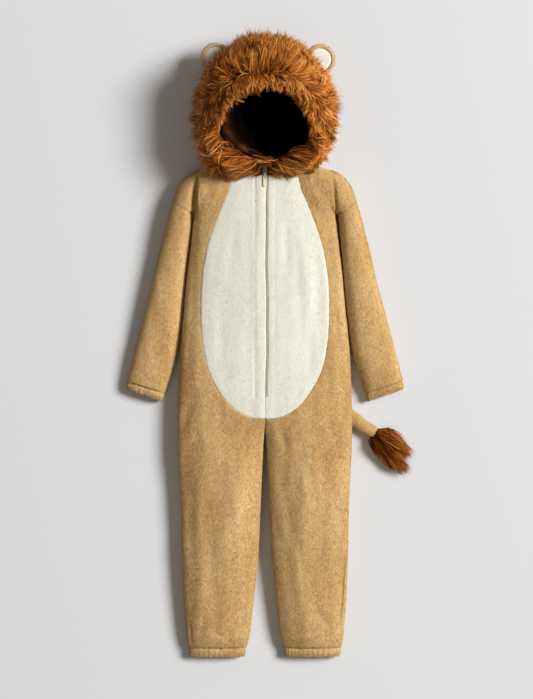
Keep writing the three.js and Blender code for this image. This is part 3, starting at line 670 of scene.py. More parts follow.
def cloth_material(
    name, dark, middle, light, grain=(9.0, 3.4), bump=0.5, sheen=0.35, broad=0.55, rough=0.12, own=0.0
):
    """Plush cloth: mottled nap over a fine grain. Pile blades add their own shade."""
    nodes = Nodes(name)
    where = nodes.add("ShaderNodeTexCoord")
    scale = nodes.add("ShaderNodeMapping")
    scale.inputs["Scale"].default_value = (1.0, 0.5, 1.0)
    nodes.link(where.outputs["Object"], scale.inputs["Vector"])
    bands = nodes.add("ShaderNodeMapping")
    bands.inputs["Scale"].default_value = (1.0, 0.22, 1.0)
    nodes.link(where.outputs["Object"], bands.inputs["Vector"])
    noises = []
    for mapping, size, detail in ((bands, 44.0, 2.0), (scale, grain[0], 3.0), (scale, grain[1], 2.0)):
        noise = nodes.add("ShaderNodeTexNoise", Scale=1000.0 / size, Detail=detail, Roughness=0.6)
        nodes.link(mapping.outputs["Vector"], noise.inputs["Vector"])
        noises.append(noise.outputs["Fac"])
    total = None
    for source, weight in ((noises[0], broad), (noises[1], rough), (noises[2], 0.5)):
        step = nodes.add("ShaderNodeMath", operation="MULTIPLY_ADD")
        nodes.link(source, step.inputs[0])
        step.inputs[1].default_value = weight
        step.inputs[2].default_value = 0.5 - (broad + rough + 0.5) / 2
        if total is not None:
            nodes.link(total, step.inputs[2])
        total = step.outputs[0]
    mixed = step
    value = mixed.outputs[0]
    if own:
        shade = nodes.add("ShaderNodeAttribute", attribute_name="shade")
        blend = nodes.add("ShaderNodeMix", data_type="FLOAT")
        blend.inputs["Factor"].default_value = own
        nodes.link(value, blend.inputs["A"])
        nodes.link(shade.outputs["Fac"], blend.inputs["B"])
        value = blend.outputs["Result"]
    ramp = nodes.ramp([(0.2, dark), (0.5, middle), (0.8, light)])
    nodes.link(value, ramp.inputs["Fac"])
    nodes.link(ramp.outputs["Color"], nodes.shader.inputs["Base Color"])
    if bump:
        relief = nodes.add("ShaderNodeBump", Strength=0.8, Distance=bump / 1000.0)
        nodes.link(mixed.outputs[0], relief.inputs["Height"])
        nodes.link(relief.outputs["Normal"], nodes.shader.inputs["Normal"])
    nodes.set(Roughness=0.92, Sheen_Weight=sheen, Sheen_Roughness=0.5)
    nodes.shader.inputs["Specular IOR Level"].default_value = 0.12
    nodes.shader.inputs["Sheen Tint"].default_value = (*light, 1)
    return nodes.material


def hair_material(name, root, middle, tip, glow=0.3):
    """Long pile: each strand darkens to its root and has its own tone."""
    nodes = Nodes(name)
    own = nodes.add("ShaderNodeAttribute", attribute_name="shade")
    ramp = nodes.ramp([(0.0, root), (0.5, middle), (1.0, tip)])
    nodes.link(own.outputs["Fac"], ramp.inputs["Fac"])
    nodes.link(ramp.outputs["Color"], nodes.shader.inputs["Base Color"])
    nodes.set(Roughness=0.55)
    nodes.shader.inputs["Specular IOR Level"].default_value = glow
    nodes.shader.inputs["Specular Tint"].default_value = (*tip, 1)
    return nodes.material


def plain_material(name, colour, roughness, grain, size=1.2):
    """A hard or woven surface with a fine uneven grain."""
    nodes = Nodes(name)
    where = nodes.add("ShaderNodeTexCoord")
    noise = nodes.add("ShaderNodeTexNoise", Scale=1000.0 / size, Detail=2.0)
    nodes.link(where.outputs["Object"], noise.inputs["Vector"])
    darker, lighter = (tuple(min(1.0, share * c) for c in colour) for share in (0.8, 1.1))
    ramp = nodes.ramp([(0.3, darker), (0.7, lighter)])
    nodes.link(noise.outputs["Fac"], ramp.inputs["Fac"])
    nodes.link(ramp.outputs["Color"], nodes.shader.inputs["Base Color"])
    relief = nodes.add("ShaderNodeBump", Strength=0.5, Distance=grain / 1000.0)
    nodes.link(noise.outputs["Fac"], relief.inputs["Height"])
    nodes.link(relief.outputs["Normal"], nodes.shader.inputs["Normal"])
    nodes.set(Roughness=roughness)
    return nodes.material


TAN = (srgb(150, 108, 58), srgb(191, 155, 102), srgb(224, 197, 148))
CREAM = (srgb(211, 211, 197), srgb(219, 219, 206), srgb(227, 227, 214))
tan = cloth_material("tan_cloth", *TAN)
tan_pile = cloth_material("tan_pile", *TAN, bump=0, own=0.5)
cream = cloth_material("cream_cloth", *CREAM, bump=0.15, sheen=0.15, broad=0.5, rough=0.05)
cream_pile = cloth_material("cream_pile", *CREAM, bump=0, own=0.3, sheen=0.15, broad=0.5, rough=0.05)
mane_cloth = cloth_material("mane_cloth", srgb(38, 18, 8), srgb(62, 30, 12), srgb(92, 46, 18), bump=1.5)
mane_hair = hair_material("mane_hair", srgb(38, 16, 4), srgb(174, 96, 33), srgb(242, 176, 96))
tuft_hair = hair_material("tuft_hair", srgb(32, 13, 3), srgb(132, 66, 20), srgb(222, 140, 60))
# The lining's ramp: its near-black end, darker than the lining's own dark brown, is painted shade deep in the hood;
# the lighter browns carry the facing's painted light
lining = cloth_material(
    "lining", srgb(9, 4, 2), srgb(30, 15, 7), srgb(104, 60, 28), grain=(14.0, 2.0), bump=1.0, own=0.8, sheen=0.0
)
lining.node_tree.nodes["Principled BSDF"].inputs["Specular IOR Level"].default_value = 0.0
# The ears' tan plush, a lighter copy of the body's tan: painted light, for the light that the ears catch
ear_plush_painted_light = (srgb(196, 160, 108), srgb(224, 194, 142), srgb(240, 217, 172))
ear_cloth_painted_light = cloth_material("ear_cloth_painted_light", *ear_plush_painted_light)
ear_pile_painted_light = cloth_material("ear_pile_painted_light", *ear_plush_painted_light, bump=0, own=0.4)
# The zip's tapes: their own cream, painted darker for the shade in the recess beside the coil
zip_cloth_painted_shade = plain_material("zip_cloth_painted_shade", srgb(186, 180, 150), 0.85, 0.25, size=0.7)
zip_teeth = plain_material("zip_teeth", srgb(228, 222, 196), 0.6, 0.1)
zip_enamel = plain_material("zip_enamel", srgb(228, 221, 190), 0.3, 0.05, size=2.0)


# The camera looks straight down at the laid costume, as the photograph does
MM_PER_PIXEL = 2.0
FRAME_CENTRE = place([(266.5 - 265) * MM_PER_PIXEL, (657 - 349.5) * MM_PER_PIXEL, 0])
CAMERA_HEIGHT = 6.0
camera_data = bpy.data.cameras.new("camera")
camera_data.sensor_fit = "VERTICAL"
camera_data.sensor_height = 24.0
camera_data.lens = 24.0 * (CAMERA_HEIGHT - 0.03) / (699 * MM_PER_PIXEL / 1000)
camera_data.clip_end = 50
camera = bpy.data.objects.new("camera", camera_data)
camera.location = (FRAME_CENTRE[0], FRAME_CENTRE[1], CAMERA_HEIGHT)
bpy.context.scene.collection.objects.link(camera)
bpy.context.scene.camera = camera


def light(name, place_at, aim, size, power, colour=(1, 1, 1)):
    data = bpy.data.lights.new(name, "AREA")
    data.shape = "DISK"
    data.size = size
    data.energy = power
    data.color = colour
    obj = bpy.data.objects.new(name, data)
    obj.location = place_at
    direction = np.array(aim, dtype=float) - np.array(place_at, dtype=float)
    x, y, z = direction / np.linalg.norm(direction)
    obj.rotation_euler = (math.acos(-z), 0, math.atan2(-x, y) if abs(x) + abs(y) > 1e-9 else 0)
    bpy.context.scene.collection.objects.link(obj)


light("key", (11.0, 3.5, 9.6), (0, 0.05, 0), 5.6, 3500, (1.0, 0.997, 0.99))
light("fill", (-1.4, -1.6, 4.8), (0, 0, 0), 3.2, 16, (1.0, 0.95, 0.88))
world = bpy.data.worlds.new("studio")
world.use_nodes = True
world.node_tree.nodes["Background"].inputs["Color"].default_value = (1.0, 0.88, 0.75, 1)
world.node_tree.nodes["Background"].inputs["Strength"].default_value = 0.21
bpy.context.scene.world = world
bpy.context.scene.view_settings.view_transform = "Standard"

floor_mesh = bpy.data.meshes.new("floor")
floor_mesh.from_pydata([(-9, -9, 0), (9, -9, 0), (9, 9, 0), (-9, 9, 0)], [], [(0, 1, 2, 3)])
floor = bpy.data.objects.new("floor", floor_mesh)
bpy.context.scene.collection.objects.link(floor)
floor_nodes = Nodes("floor")
floor_nodes.set(Roughness=0.9)
floor_nodes.shader.inputs["Base Color"].default_value = (0.595, 0.607, 0.624, 1)
floor_mesh.materials.append(floor_nodes.material)


def finish_piece(obj, slot, *nodes):
    """The piece rides with the suit and stands for its solids. Its slot argument is not used."""
    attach(obj, "suit")
    if nodes:
        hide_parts(*nodes)
    return obj


# The belly's half outline as x for a given y
outline = spline(BELLY, 400)
order = np.argsort(outline[:, 1])
BELLY_X = (outline[order, 1], outline[order, 0])


def belly_x(y):
    return np.interp(y, *BELLY_X, left=0.0)


def rows_between(low, high, step, dense=()):
    """Heights from low to high, with extra ones where the table in dense asks for them."""
    found = list(np.arange(low, high, step)) + [high]
    for start, end, fine in dense:
        found += list(np.arange(start, end, fine))
    found = np.unique(np.round(found, 3))
    return found[(found >= low) & (found <= high)]


def zip_sway(y):
    """How far the zip's line wanders sideways as the cloth lies."""
    return 0.9 * np.sin(y / 47) + 0.5 * np.sin(y / 19 + 1)


# How many blades of pile grow on each piece
PILE = {"front": 62000, "belly": 38000, "sleeve": 26000, "casing": 3200, "ear": 5200, "tail": 9000}
BELLY_PILE = {"length": 2.2, "rough": 0.06, "spread": 0.15}

for name, side in SIDES.items():
    seed = 100 if side > 0 else 500

    # Front: from the belly's outline or the leg's inner edge to the side seam
    front = Cloth("front", name, seed)
    ys = rows_between(18.3, 979.5, 5.0, [(478, 492, 1.0), (492, 520, 2.5)])
    starts = np.where(ys > CROTCH_Y, belly_x(ys), track(BODY, "inner", ys) + 0.05)
    grid = front_grid(side, ys, starts, 56)
    front.shell(grid, edges=("first", "last"), depth=0.8, width=4.0)
    front.shell(shoulder_grid(side), edges=("end",), depth=SEAM_DEPTH[side], width=3.0, lumps=0.3)
    piece = finish_piece(front.build(tan), "tan_plush", f"front_{name}")
    pile = plush_pile(f"front_{name}_pile", front.skins, PILE["front"], tan_pile, seed + 40)
    finish_piece(pile, "tan_plush")

    # Back: under the costume, from the middle seam to the side seam
    back = Cloth("back", name, seed + 50)
    ys = rows_between(18.3, 979.5, 9.0)
    grid = back_grid(side, ys, 44)
    back.shell(grid, edges=(), lumps=0.12, outward=np.array([0, 0, -1.0]))
    tube = limb_grid(SHOULDER, side, 120, 30)
    under = np.concatenate([tube[:, 60:], tube[:, :1]], axis=1)
    back.shell(under, edges=(), lumps=0.12, outward=np.array([0, 0, -1.0]))
    piece = finish_piece(back.build(tan), "tan_plush", f"back_{name}")

    # Belly: from the zip's edge to the outline
    belly = Cloth("belly", name, seed + 80)
    ys = rows_between(478.2, 979.5, 4.5, [(478, 492, 1.0), (492, 524, 2.0)])
    middle, reach, top, seam = (value[:, None] for value in section(ys))
    lip = np.where(side < 0, -1.5, 5.7)
    inner = np.where(ys > ZIP_BOTTOM_Y, lip + side * zip_sway(ys), 0.05)
    share = np.linspace(0, 1, 44)[None, :]
    x = inner[:, None] + (np.maximum(belly_x(ys), inner + 0.2)[:, None] - inner[:, None]) * share
    angle = np.arccos(np.clip((x - middle) / reach, -1, 1))
    rise = np.sin(angle) ** DOME
    y = np.broadcast_to(ys[:, None], x.shape)
    down = fold_depth(side, x, y)
    placket = 0.7 * bell(x - 20, 3) * (y > ZIP_BOTTOM_Y - 4) - 0.9 * bell(x - 9, 8)
    z = seam + (top - seam) * rise - down * rise - placket * (1.0 if side < 0 else 0.4)
    grid = np.stack([side * x, y, z], axis=-1)
    belly.shell(grid, edges=("first", "last"), depth=0.5, width=4.0, lumps=0.38)
    piece = finish_piece(belly.build(cream), "cream_plush", f"belly_{name}")
    pile = plush_pile(f"belly_{name}_pile", belly.skins, PILE["belly"], cream_pile, seed + 90, **BELLY_PILE)
    finish_piece(pile, "cream_plush")

    # Sleeve, a tube from the armhole to the cuff
    sleeve = Cloth("sleeve", name, seed + 120)
    tuck = SLEEVE_TUCK[side] * np.linspace(1, 0.4, 84)[:, None]
    grid = limb_grid(SLEEVE, side, 88, 84, tucked=tuck)
    centre = grid.mean(axis=1, keepdims=True)
    sleeve.shell(
        grid,
        closed=True,
        edges=("start", "end"),
        depth=SEAM_DEPTH[side],
        width=3.2,
        lumps=0.6,
        outward=grid - centre,
    )
    piece = finish_piece(sleeve.build(tan), "tan_plush", f"sleeve_{name}")
    pile = plush_pile(f"sleeve_{name}_pile", sleeve.skins, PILE["sleeve"], tan_pile, seed + 130)
    finish_piece(pile, "tan_plush")

    # Elastic casings at the wrist and the ankle, gathered and stitched
    for kind, rows, gathers in (("cuff", CUFF, 24), ("ankle", ANKLE, 34)):
        casing = Cloth(kind, name, seed + 160)
        grid = limb_grid(rows, side, 204, 12, waves=gathers, wave=0.38, puff=1.5)
        centre = grid.mean(axis=1, keepdims=True)
        casing.shell(
            grid,
            thick=3.4,
            closed=True,
            edges=("start", "end"),
            depth=1.9,
            width=2.6,
            lumps=0.3,
            outward=grid - centre,
        )
        piece = finish_piece(casing.build(tan), "tan_plush", f"{kind}_{name}")
        pile = plush_pile(
            f"{kind}_{name}_pile", casing.skins, PILE["casing"], tan_pile, seed + 170, length=3.0
        )
        finish_piece(pile, "tan_plush")


def polar_face(theta):
    """The face opening's rim as a distance from its centre, for directions from straight up (0)."""
    curve = spline(FACE, 240)
    angle = np.arctan2(curve[:, 0], curve[:, 1] - FACE_CENTRE_Y)
    far = np.hypot(curve[:, 0], curve[:, 1] - FACE_CENTRE_Y)
    return np.interp(theta, angle, far)


def polar_edge(theta, rows, low):
    """A hood form's edge in plan, in the same terms."""
    ys = np.linspace(low, rows["y"][-1], 500)
    xs = track(rows, "outer", ys)
    xs = np.concatenate([[0.0], xs, [0.0]])
    ys = np.concatenate([[ys[0]], ys, [ys[-1]]])
    angle = np.arctan2(xs, ys - FACE_CENTRE_Y)
    far = np.hypot(xs, ys - FACE_CENTRE_Y)
    order = np.argsort(angle)
    return np.interp(theta, angle[order], far[order])


def hood_height(x, y, rows, seam):
    """How high a hood form stands over a point in plan."""
    outer, top = track(rows, "outer", y), track(rows, "top", y)
    rise = np.sqrt(np.clip(1 - (np.abs(x) / outer) ** 2, 0, 1)) ** DOME
    return seam + (top - seam) * rise


def hood_grid(side, rows, low, seam, rings, spokes, drop=0.0, inside=3):
    """The hood's upper form around the face opening, from its rolled rim to its edge."""
    theta = np.linspace(0.0004, math.pi - 0.0004, spokes)[None, :]
    share = np.sin(np.linspace(0, math.pi / 2, rings))[:, None]
    rim, edge = polar_face(theta), polar_edge(theta, rows, low)
    far = rim + (np.maximum(edge, rim + 4) - rim) * share
    x, y = np.sin(theta) * far, FACE_CENTRE_Y + np.cos(theta) * far
    z = hood_height(x, np.clip(y, rows["y"][0], rows["y"][-1]), rows, seam) - drop
    roll = []
    for k in range(inside, 0, -1):
        t = k / inside
        reach = rim * (1 - 0.03 * t)
        roll.append(
            np.stack([np.sin(theta) * reach, FACE_CENTRE_Y + np.cos(theta) * reach, z[:1] - 9 * t * t], axis=-1)
        )
    grid = np.concatenate(roll + [np.stack([x, y, z], axis=-1)])
    grid[..., 0] *= side
    return grid


# The facing's width towards the opening's middle, by direction from straight up, in degrees
FACING = {
    "angle": [0, 50, 75, 110, 140, 165, 180],
    "left": [8, 16, 40, 56, 48, 20, 8],
    "right": [4, 4, 6, 8, 8, 6, 6],
}


def facing_grid(side, rows=12, spokes=80):
    """The band of cloth that slopes inward from the face opening's rim."""
    theta = np.linspace(0.001, math.pi - 0.001, spokes)[None, :]
    share = np.linspace(0, 1, rows)[:, None]
    width = np.interp(np.degrees(theta), FACING["angle"], FACING["left" if side < 0 else "right"])
    far = polar_face(theta) * 0.985 - width * share
    x, y = np.sin(theta) * far, FACE_CENTRE_Y + np.cos(theta) * far
    rim_x = np.sin(theta) * polar_face(theta)
    rim_y = FACE_CENTRE_Y + np.cos(theta) * polar_face(theta)
    rim = hood_height(rim_x, np.clip(rim_y, MANE_BASE["y"][0], MANE_BASE["y"][-1]), MANE_BASE, MANE_SEAM_Z)
    z = rim - 8 - (4 + 1.1 * width) * share**0.8
    return np.stack([side * x, y, z], axis=-1)


def under_grid(side, rows, inset, top_z, steps, columns):
    """The hood's lower form from its middle, round its corner and up to top_z."""
    ys = np.linspace(rows["y"][0] + 0.4, rows["y"][-1], steps)
    outer = np.maximum(track(rows, "outer", ys)[:, None] - inset, 1.0)
    floor = track(rows, "floor", ys)[:, None] + inset
    seam = np.minimum(track(rows, "seam", ys)[:, None], top_z)
    corner = np.minimum(24, outer * 0.45)
    share = np.linspace(0, 1, columns)[None, :]
    turn = clamp((share - 0.6) / 0.3) * math.pi / 2
    up = clamp((share - 0.9) / 0.1)
    x = 0.05 + (outer - corner) * clamp(share / 0.6) + corner * np.sin(turn)
    middle = (ys[0] + ys[-1]) / 2
    ys = middle + (ys - middle) * (1 - 2 * inset / (ys[-1] - ys[0]))
    z = floor + (seam - floor) * (1 - np.cos(turn)) + (top_z - seam) * up
    return np.stack([side * x, ys[:, None] + 0 * x, z], axis=-1)


def lie_of_pile(x, y, rim_gap):
    """Which way the mane's pile lies in plan, as unit vectors, and how much it turns inward."""
    u = np.stack([x, y - FACE_CENTRE_Y], axis=-1)
    far = np.maximum(np.linalg.norm(u, axis=-1, keepdims=True), 1e-6)
    u = u / far
    up = clamp((u[..., 1:] + 0.1) / 0.8)
    low = clamp((-u[..., 1:] - 0.45) / 0.5)
    sign = np.where(x >= 0, 1.0, -1.0)[..., None]
    sideways = np.concatenate([sign * 1.0, np.full_like(sign, -0.05)], axis=-1)
    outward = u + (1 - up) * np.array([0.0, -0.5]) + 2.8 * low * sideways
    hang = np.array([0.0, -1.0]) - 0.35 * u
    inward = np.where(u[..., 1:] > -0.2, hang, 0.7 * sideways + np.array([0.0, 0.25]))
    turn = 1 - clamp((rim_gap - 9) / 16)[..., None]
    turn = turn * clamp((u[..., 1:] + 0.3) / 0.35)
    lie = outward * (1 - turn) + inward * turn
    return lie / np.maximum(np.linalg.norm(lie, axis=-1, keepdims=True), 1e-6), turn[..., 0]


def part_at_zip(grid, side, half=4.5):
    """Opens the mane's cloth below the face, where the zip's pull tab swings up."""
    away = np.abs(grid[..., 0])
    gap = half * clamp((1000 - grid[..., 1]) / 10)
    grid[..., 0] = side * (away + gap * clamp(1 - away / 30))
    return grid


LEVELS = np.array([0.0, 0.34, 0.68, 1.0])


def strands(name, up, paths, width, shade, material, seed):
    """Ribbons along paths, tapered to a point and lit partly like the skin they grow from, which faces up."""
    rng = np.random.default_rng(seed)
    count = len(up)
    along = np.gradient(paths, axis=1)
    along /= np.maximum(np.linalg.norm(along, axis=2, keepdims=True), 1e-9)
    face = rng.normal(size=(count, 1, 3))
    face *= np.where(np.sum(face * up[:, None], axis=2, keepdims=True) < 0, -1, 1)
    face += 0.8 * up[:, None]
    face /= np.linalg.norm(face, axis=2, keepdims=True)
    across = np.cross(along, face)
    across /= np.maximum(np.linalg.norm(across, axis=2, keepdims=True), 1e-9)
    taper = np.array([0.85, 1.05, 0.82, 0.0])
    offset = across * (width[:, None] * taper[None, :])[..., None]
    left, right = paths - offset, paths + offset
    tips = paths[:, -1:]
    pairs = np.stack([left[:, :-1], right[:, :-1]], axis=2).reshape(count, -1, 3)
    points = np.concatenate([pairs, tips], axis=1)
    per = points.shape[1]
    faces = []
    for k in range(len(LEVELS) - 2):
        a = 2 * k
        faces += [[a, a + 1, a + 3], [a, a + 3, a + 2]]
    faces.append([per - 3, per - 2, per - 1])
    faces = (np.array(faces)[None] + (np.arange(count) * per)[:, None, None]).reshape(-1, 3)
    tones = np.repeat(shade[:, :-1], 2, axis=1)
    tones = np.concatenate([tones, shade[:, -1:]], axis=1).ravel()
    soft = 0.55 * up + 0.45 * face[:, 0]
    soft = np.repeat(soft / np.linalg.norm(soft, axis=1)[:, None], per, axis=0)
    return mesh_object(name, points.reshape(-1, 3), faces, material, tones, soft)


MANE_STRANDS = 27000
MANE_LOCKS = 2200
# How far the pile's tips reach in plan, on each side
TIPS_Y = np.array([944, 950, 960, 975, 994, 1018, 1052, 1092, 1130, 1162, 1186, 1206, 1224, 1238, 1244], dtype=float)
TIPS_X = {
    -1: [30, 74, 98, 115, 129, 139, 146, 145, 137, 120, 101, 83, 64, 40, 14],
    1: [30, 66, 86, 101, 116, 131, 143, 145, 138, 121, 101, 83, 64, 40, 14],
}
MANE_TIPS = {side: {"y": TIPS_Y, "outer": np.array(tips, dtype=float)} for side, tips in TIPS_X.items()}


def squeeze(points, side, spare):
    """Draws the points in, in plan, so that the pile ends near the mane's outline."""
    flat = points[..., :2] - [0, FACE_CENTRE_Y]
    far = np.linalg.norm(flat, axis=-1)
    theta = np.arctan2(np.abs(flat[..., 0]), flat[..., 1])
    base = polar_edge(theta, MANE_BASE, MANE_BASE["y"][0]) - 10
    limit = polar_edge(theta, MANE_TIPS[side], TIPS_Y[0]) + spare
    over = np.maximum(far - base, 0)
    room = np.maximum(limit - base, 4)
    drawn = np.where(over > 0, base + np.minimum(over * room / 72, room + 4), far)
    points[..., :2] = flat * (drawn / np.maximum(far, 1e-6))[..., None] + [0, FACE_CENTRE_Y]
    return points


def grow_mane(name, side, skin, normal, seed):
    """The mane's pile on one half of the hood, in locks that lie together."""
    rng = np.random.default_rng(seed)
    root, up = scatter([(skin, normal, False)], MANE_STRANDS, rng)
    centres = scatter([(skin, normal, False)], MANE_LOCKS, rng)[0]
    tree = kdtree.KDTree(len(centres))
    for i, point in enumerate(centres):
        tree.insert(point, i)
    tree.balance()
    lock = np.array([tree.find(point)[1] for point in root])
    theta = np.arctan2(np.abs(root[:, 0]), root[:, 1] - FACE_CENTRE_Y)
    gap = np.hypot(root[:, 0], root[:, 1] - FACE_CENTRE_Y) - polar_face(theta)
    lie, turn = lie_of_pile(root[:, 0], root[:, 1], gap)
    wild = rng.random(MANE_LOCKS) < 0.07
    jitter = (rng.normal(size=(MANE_LOCKS, 3)) * np.where(wild, 2.6, 1.0)[:, None])[lock]
    loose = rng.normal(size=root.shape)
    swirl = np.stack([ripple(root, 55, seed + k) for k in range(3)], axis=-1)
    heading = np.concatenate([lie, np.zeros((len(root), 1))], axis=1)
    heading = heading + 0.16 * jitter * [1, 1, 0.5] + 0.3 * swirl + 0.1 * loose
    flat = np.clip(up[:, 2], 0, 1)
    heading -= 0.7 * (np.sum(heading * up, axis=1) * flat)[:, None] * up
    crossing = (np.abs(root[:, 0]) < 13) & (root[:, 1] > 982) & (root[:, 1] < 1000)
    heading[crossing, 0] = -0.9 * side
    heading[crossing, 1] = 0.2 * heading[crossing, 1] + 0.3
    heading /= np.linalg.norm(heading, axis=1)[:, None]
    length = 52 * (1 + 0.12 * jitter[:, 0] + 0.16 * rng.normal(size=len(root)))
    length *= 1 - turn * 0.7
    below = root[:, 1] < FACE_CENTRE_Y
    length *= 1 - 0.55 * below * np.exp(-((root[:, 0] / 15) ** 2))
    edge = clamp((up[:, 2] - 0.15) / 0.5)
    lift = 9 + 4 * ripple(root, 60, seed + 9) + 2.2 * jitter[:, 1] + 2 * rng.normal(size=len(root))
    lift += 5 * wild[lock]
    lift = np.clip(lift * (0.35 + 0.65 * edge) * (1 - 0.35 * turn), 2, 22)
    t = LEVELS[None, :, None]
    rise = np.sin(t * math.pi * 0.62)
    paths = root[:, None] + up[:, None] * (lift[:, None, None] * rise) + heading[:, None] * (
        length[:, None, None] * t**1.25
    )
    curl = rng.normal(size=(len(root), 3)) * 1.5 + 1.2 * rng.normal(size=(MANE_LOCKS, 3))[lock]
    paths += curl[:, None] * np.sin(t * math.pi * 1.3) * t
    paths[..., 2] -= (4 + 7 * (1 - edge))[:, None] * LEVELS[None, :] ** 2
    own = np.zeros((MANE_LOCKS, len(LEVELS), 3))
    amount = np.zeros(MANE_LOCKS)
    np.add.at(own, lock, paths)
    np.add.at(amount, lock, 1)
    own /= np.maximum(amount, 1)[:, None, None]
    pull = (0.35 + 0.45 * rng.random(MANE_LOCKS)[lock])[:, None, None] * t**1.4
    stray = rng.random(len(root)) < 0.1
    pull[stray] = 0
    paths = paths * (1 - pull) + own[lock] * pull
    spare = 5 * rng.normal(size=MANE_LOCKS)[lock] + 4 * rng.normal(size=len(root))
    paths = squeeze(paths, side, spare[:, None])
    paths[..., 2] = np.maximum(paths[..., 2], np.where(paths[..., 1] < NECK_Y + 6, 64.5, 40))
    paths[..., 2] = np.minimum(paths[..., 2], 176)
    tone = 0.4 + 0.12 * rng.normal(size=MANE_LOCKS)[lock] + 0.18 * rng.normal(size=len(root))
    tone += 0.09 * ripple(root, 48, seed + 12)
    shade = np.minimum(tone[:, None] - 0.41 + 0.72 * LEVELS[None, :] ** 0.8, 0.9)
    width = 0.42 + 0.28 * rng.random(len(root))
    return strands(name, up, paths, width, shade, mane_hair, seed + 77)


for name, side in SIDES.items():
    seed = 2000 if side > 0 else 3000

    # The mane's cloth around the face, and its pile
    mane = Cloth("mane", name, seed)
    grid = part_at_zip(hood_grid(side, MANE_BASE, MANE_BASE["y"][0], MANE_SEAM_Z, 30, 72), side)
    mane.shell(grid, thick=2.0, lumps=1.2)
    piece = finish_piece(mane.build(mane_cloth), "brown_fur", f"mane_{name}")
    outer, normal, _ = mane.skins[0]
    hair = grow_mane(f"mane_{name}_pile", side, outer, normal, seed + 10)
    finish_piece(hair, "brown_fur")

    # The hood's plush back, which it lies on
    hood = Cloth("hood_back", name, seed + 30)
    grid = under_grid(side, HOOD, 0.0, MANE_SEAM_Z + 6, 48, 46)
    centre = np.array([0, 1090.0, 70.0])
    hood.shell(grid, edges=("end", "last"), depth=1.6, width=4.0, lumps=0.12, outward=grid - centre)
    piece = finish_piece(hood.build(tan), "tan_plush", f"hood_back_{name}")

    # The lining, inside the hood, and its brown facing behind the pile's edge, with painted light and shade on the
    # facing
    inside = Cloth("hood_lining", name, seed + 40)
    bowl = under_grid(side, HOOD, 5.5, 64.0, 34, 32)
    inside.shell(bowl, thick=1.2, lumps=0.25, outward=centre - bowl, grows=False)
    crown = hood_grid(side, HOOD, 984.0, 46.0, 22, 60, drop=5.0)
    crown[..., 0] *= 0.965
    inside.shell(crown, thick=1.2, lumps=0.3, outward=centre - crown, grows=False)
    band = facing_grid(side)
    share = np.linspace(0, 1, len(band))[:, None]
    # Painted light and shade on the facing: lightest some way in, darker by the pile's edge where the fur shades it
    # and darker again deeper in the hood
    tone = 0.6 * np.exp(-(((share - 0.3) / 0.27) ** 2)) * (1 + 0.14 * ripple(band, 30, seed + 44))
    inside.shell(band, thick=1.6, lumps=0.8, outward=centre + [0, 0, 80.0] - band, grows=False, tone=tone)
    piece = finish_piece(inside.build(lining), "brown_lining", f"hood_lining_{name}")


def clear_of_hood(points):
    """Draws an ear's hidden part out to the hood's side, where it is sewn on."""
    flat = points[..., :2] - [0, FACE_CENTRE_Y]
    far = np.linalg.norm(flat, axis=-1)
    theta = np.arctan2(np.abs(flat[..., 0]), flat[..., 1])
    edge = polar_edge(theta, HOOD, 984.0) - 2.5
    points[..., :2] = flat * (np.maximum(far, edge) / far)[..., None] + [0, FACE_CENTRE_Y]
    return points


def lathe(name, profile, centre, material, count=72, wobble=0.0, seed=0):
    """A turned form about an upright line through centre."""
    radius, height = np.array(profile).T
    angle = np.linspace(0, 2 * math.pi, count, endpoint=False)
    points = np.stack(
        [
            radius[:, None] * np.cos(angle)[None, :],
            radius[:, None] * np.sin(angle)[None, :],
            height[:, None] + 0 * angle[None, :],
        ],
        axis=-1,
    )
    points = clear_of_hood(points * (1 + wobble * ripple(points, 24, seed))[..., None] + np.array(centre))
    faces = grid_faces(len(profile), count, True)
    skin = points.copy()
    obj = mesh_object(name, points.reshape(-1, 3), faces, material)
    return obj, skin


for name, side in SIDES.items():
    centre = EARS[name]
    back = [[0.05, -4.2], [12, -4.4], [22, -4.3], [27, -3.6], [29.4, -1.8], [30.2, 0.6], [29.4, 2.8], [27.6, 4.2]]
    back += [[25.6, 4.4], [23.8, 3.6], [23.2, 2.2], [23.0, 1.0], [12, 0.8], [0.05, 0.7]]
    obj, skin = lathe(f"ear_{name}_rim", back, centre, ear_cloth_painted_light, wobble=0.012, seed=41)
    finish_piece(obj, "tan_plush", f"ear_{name}_back")
    rim = skin[3:12]
    rim_skins = [(rim, normals_of(rim, True), True)]
    pile = plush_pile(f"ear_{name}_rim_pile", rim_skins, PILE["ear"], ear_pile_painted_light, 700 + side)
    finish_piece(pile, "tan_plush")
    front = [[0.05, 1.0], [20, 1.0], [22.4, 1.3], [22.7, 2.0], [21.6, 3.0], [17, 3.5], [8, 3.1], [0.05, 2.9]]
    obj, skin = lathe(f"ear_{name}_disc", front, centre, cream, wobble=0.01, seed=43)
    finish_piece(obj, "cream_plush", f"ear_{name}_inner")


# The tail, a stuffed tube, with its tuft
def tail_rings(count, steps):
    path = spline(TAIL, steps)
    tangent = np.gradient(path[:, :2], axis=0)
    tangent /= np.linalg.norm(tangent, axis=1)[:, None]
    sideways = np.stack([-tangent[:, 1], tangent[:, 0]], axis=-1)
    around = np.linspace(0, 2 * math.pi, count, endpoint=False)
    half, top = path[:, 2:3], path[:, 3:4]
    across = np.cos(around)[None, :] * half
    z = top / 2 + np.sin(around)[None, :] * top / 2
    xy = path[:, None, :2] + across[..., None] * sideways[:, None, :]
    return np.concatenate([xy, z[..., None]], axis=-1)


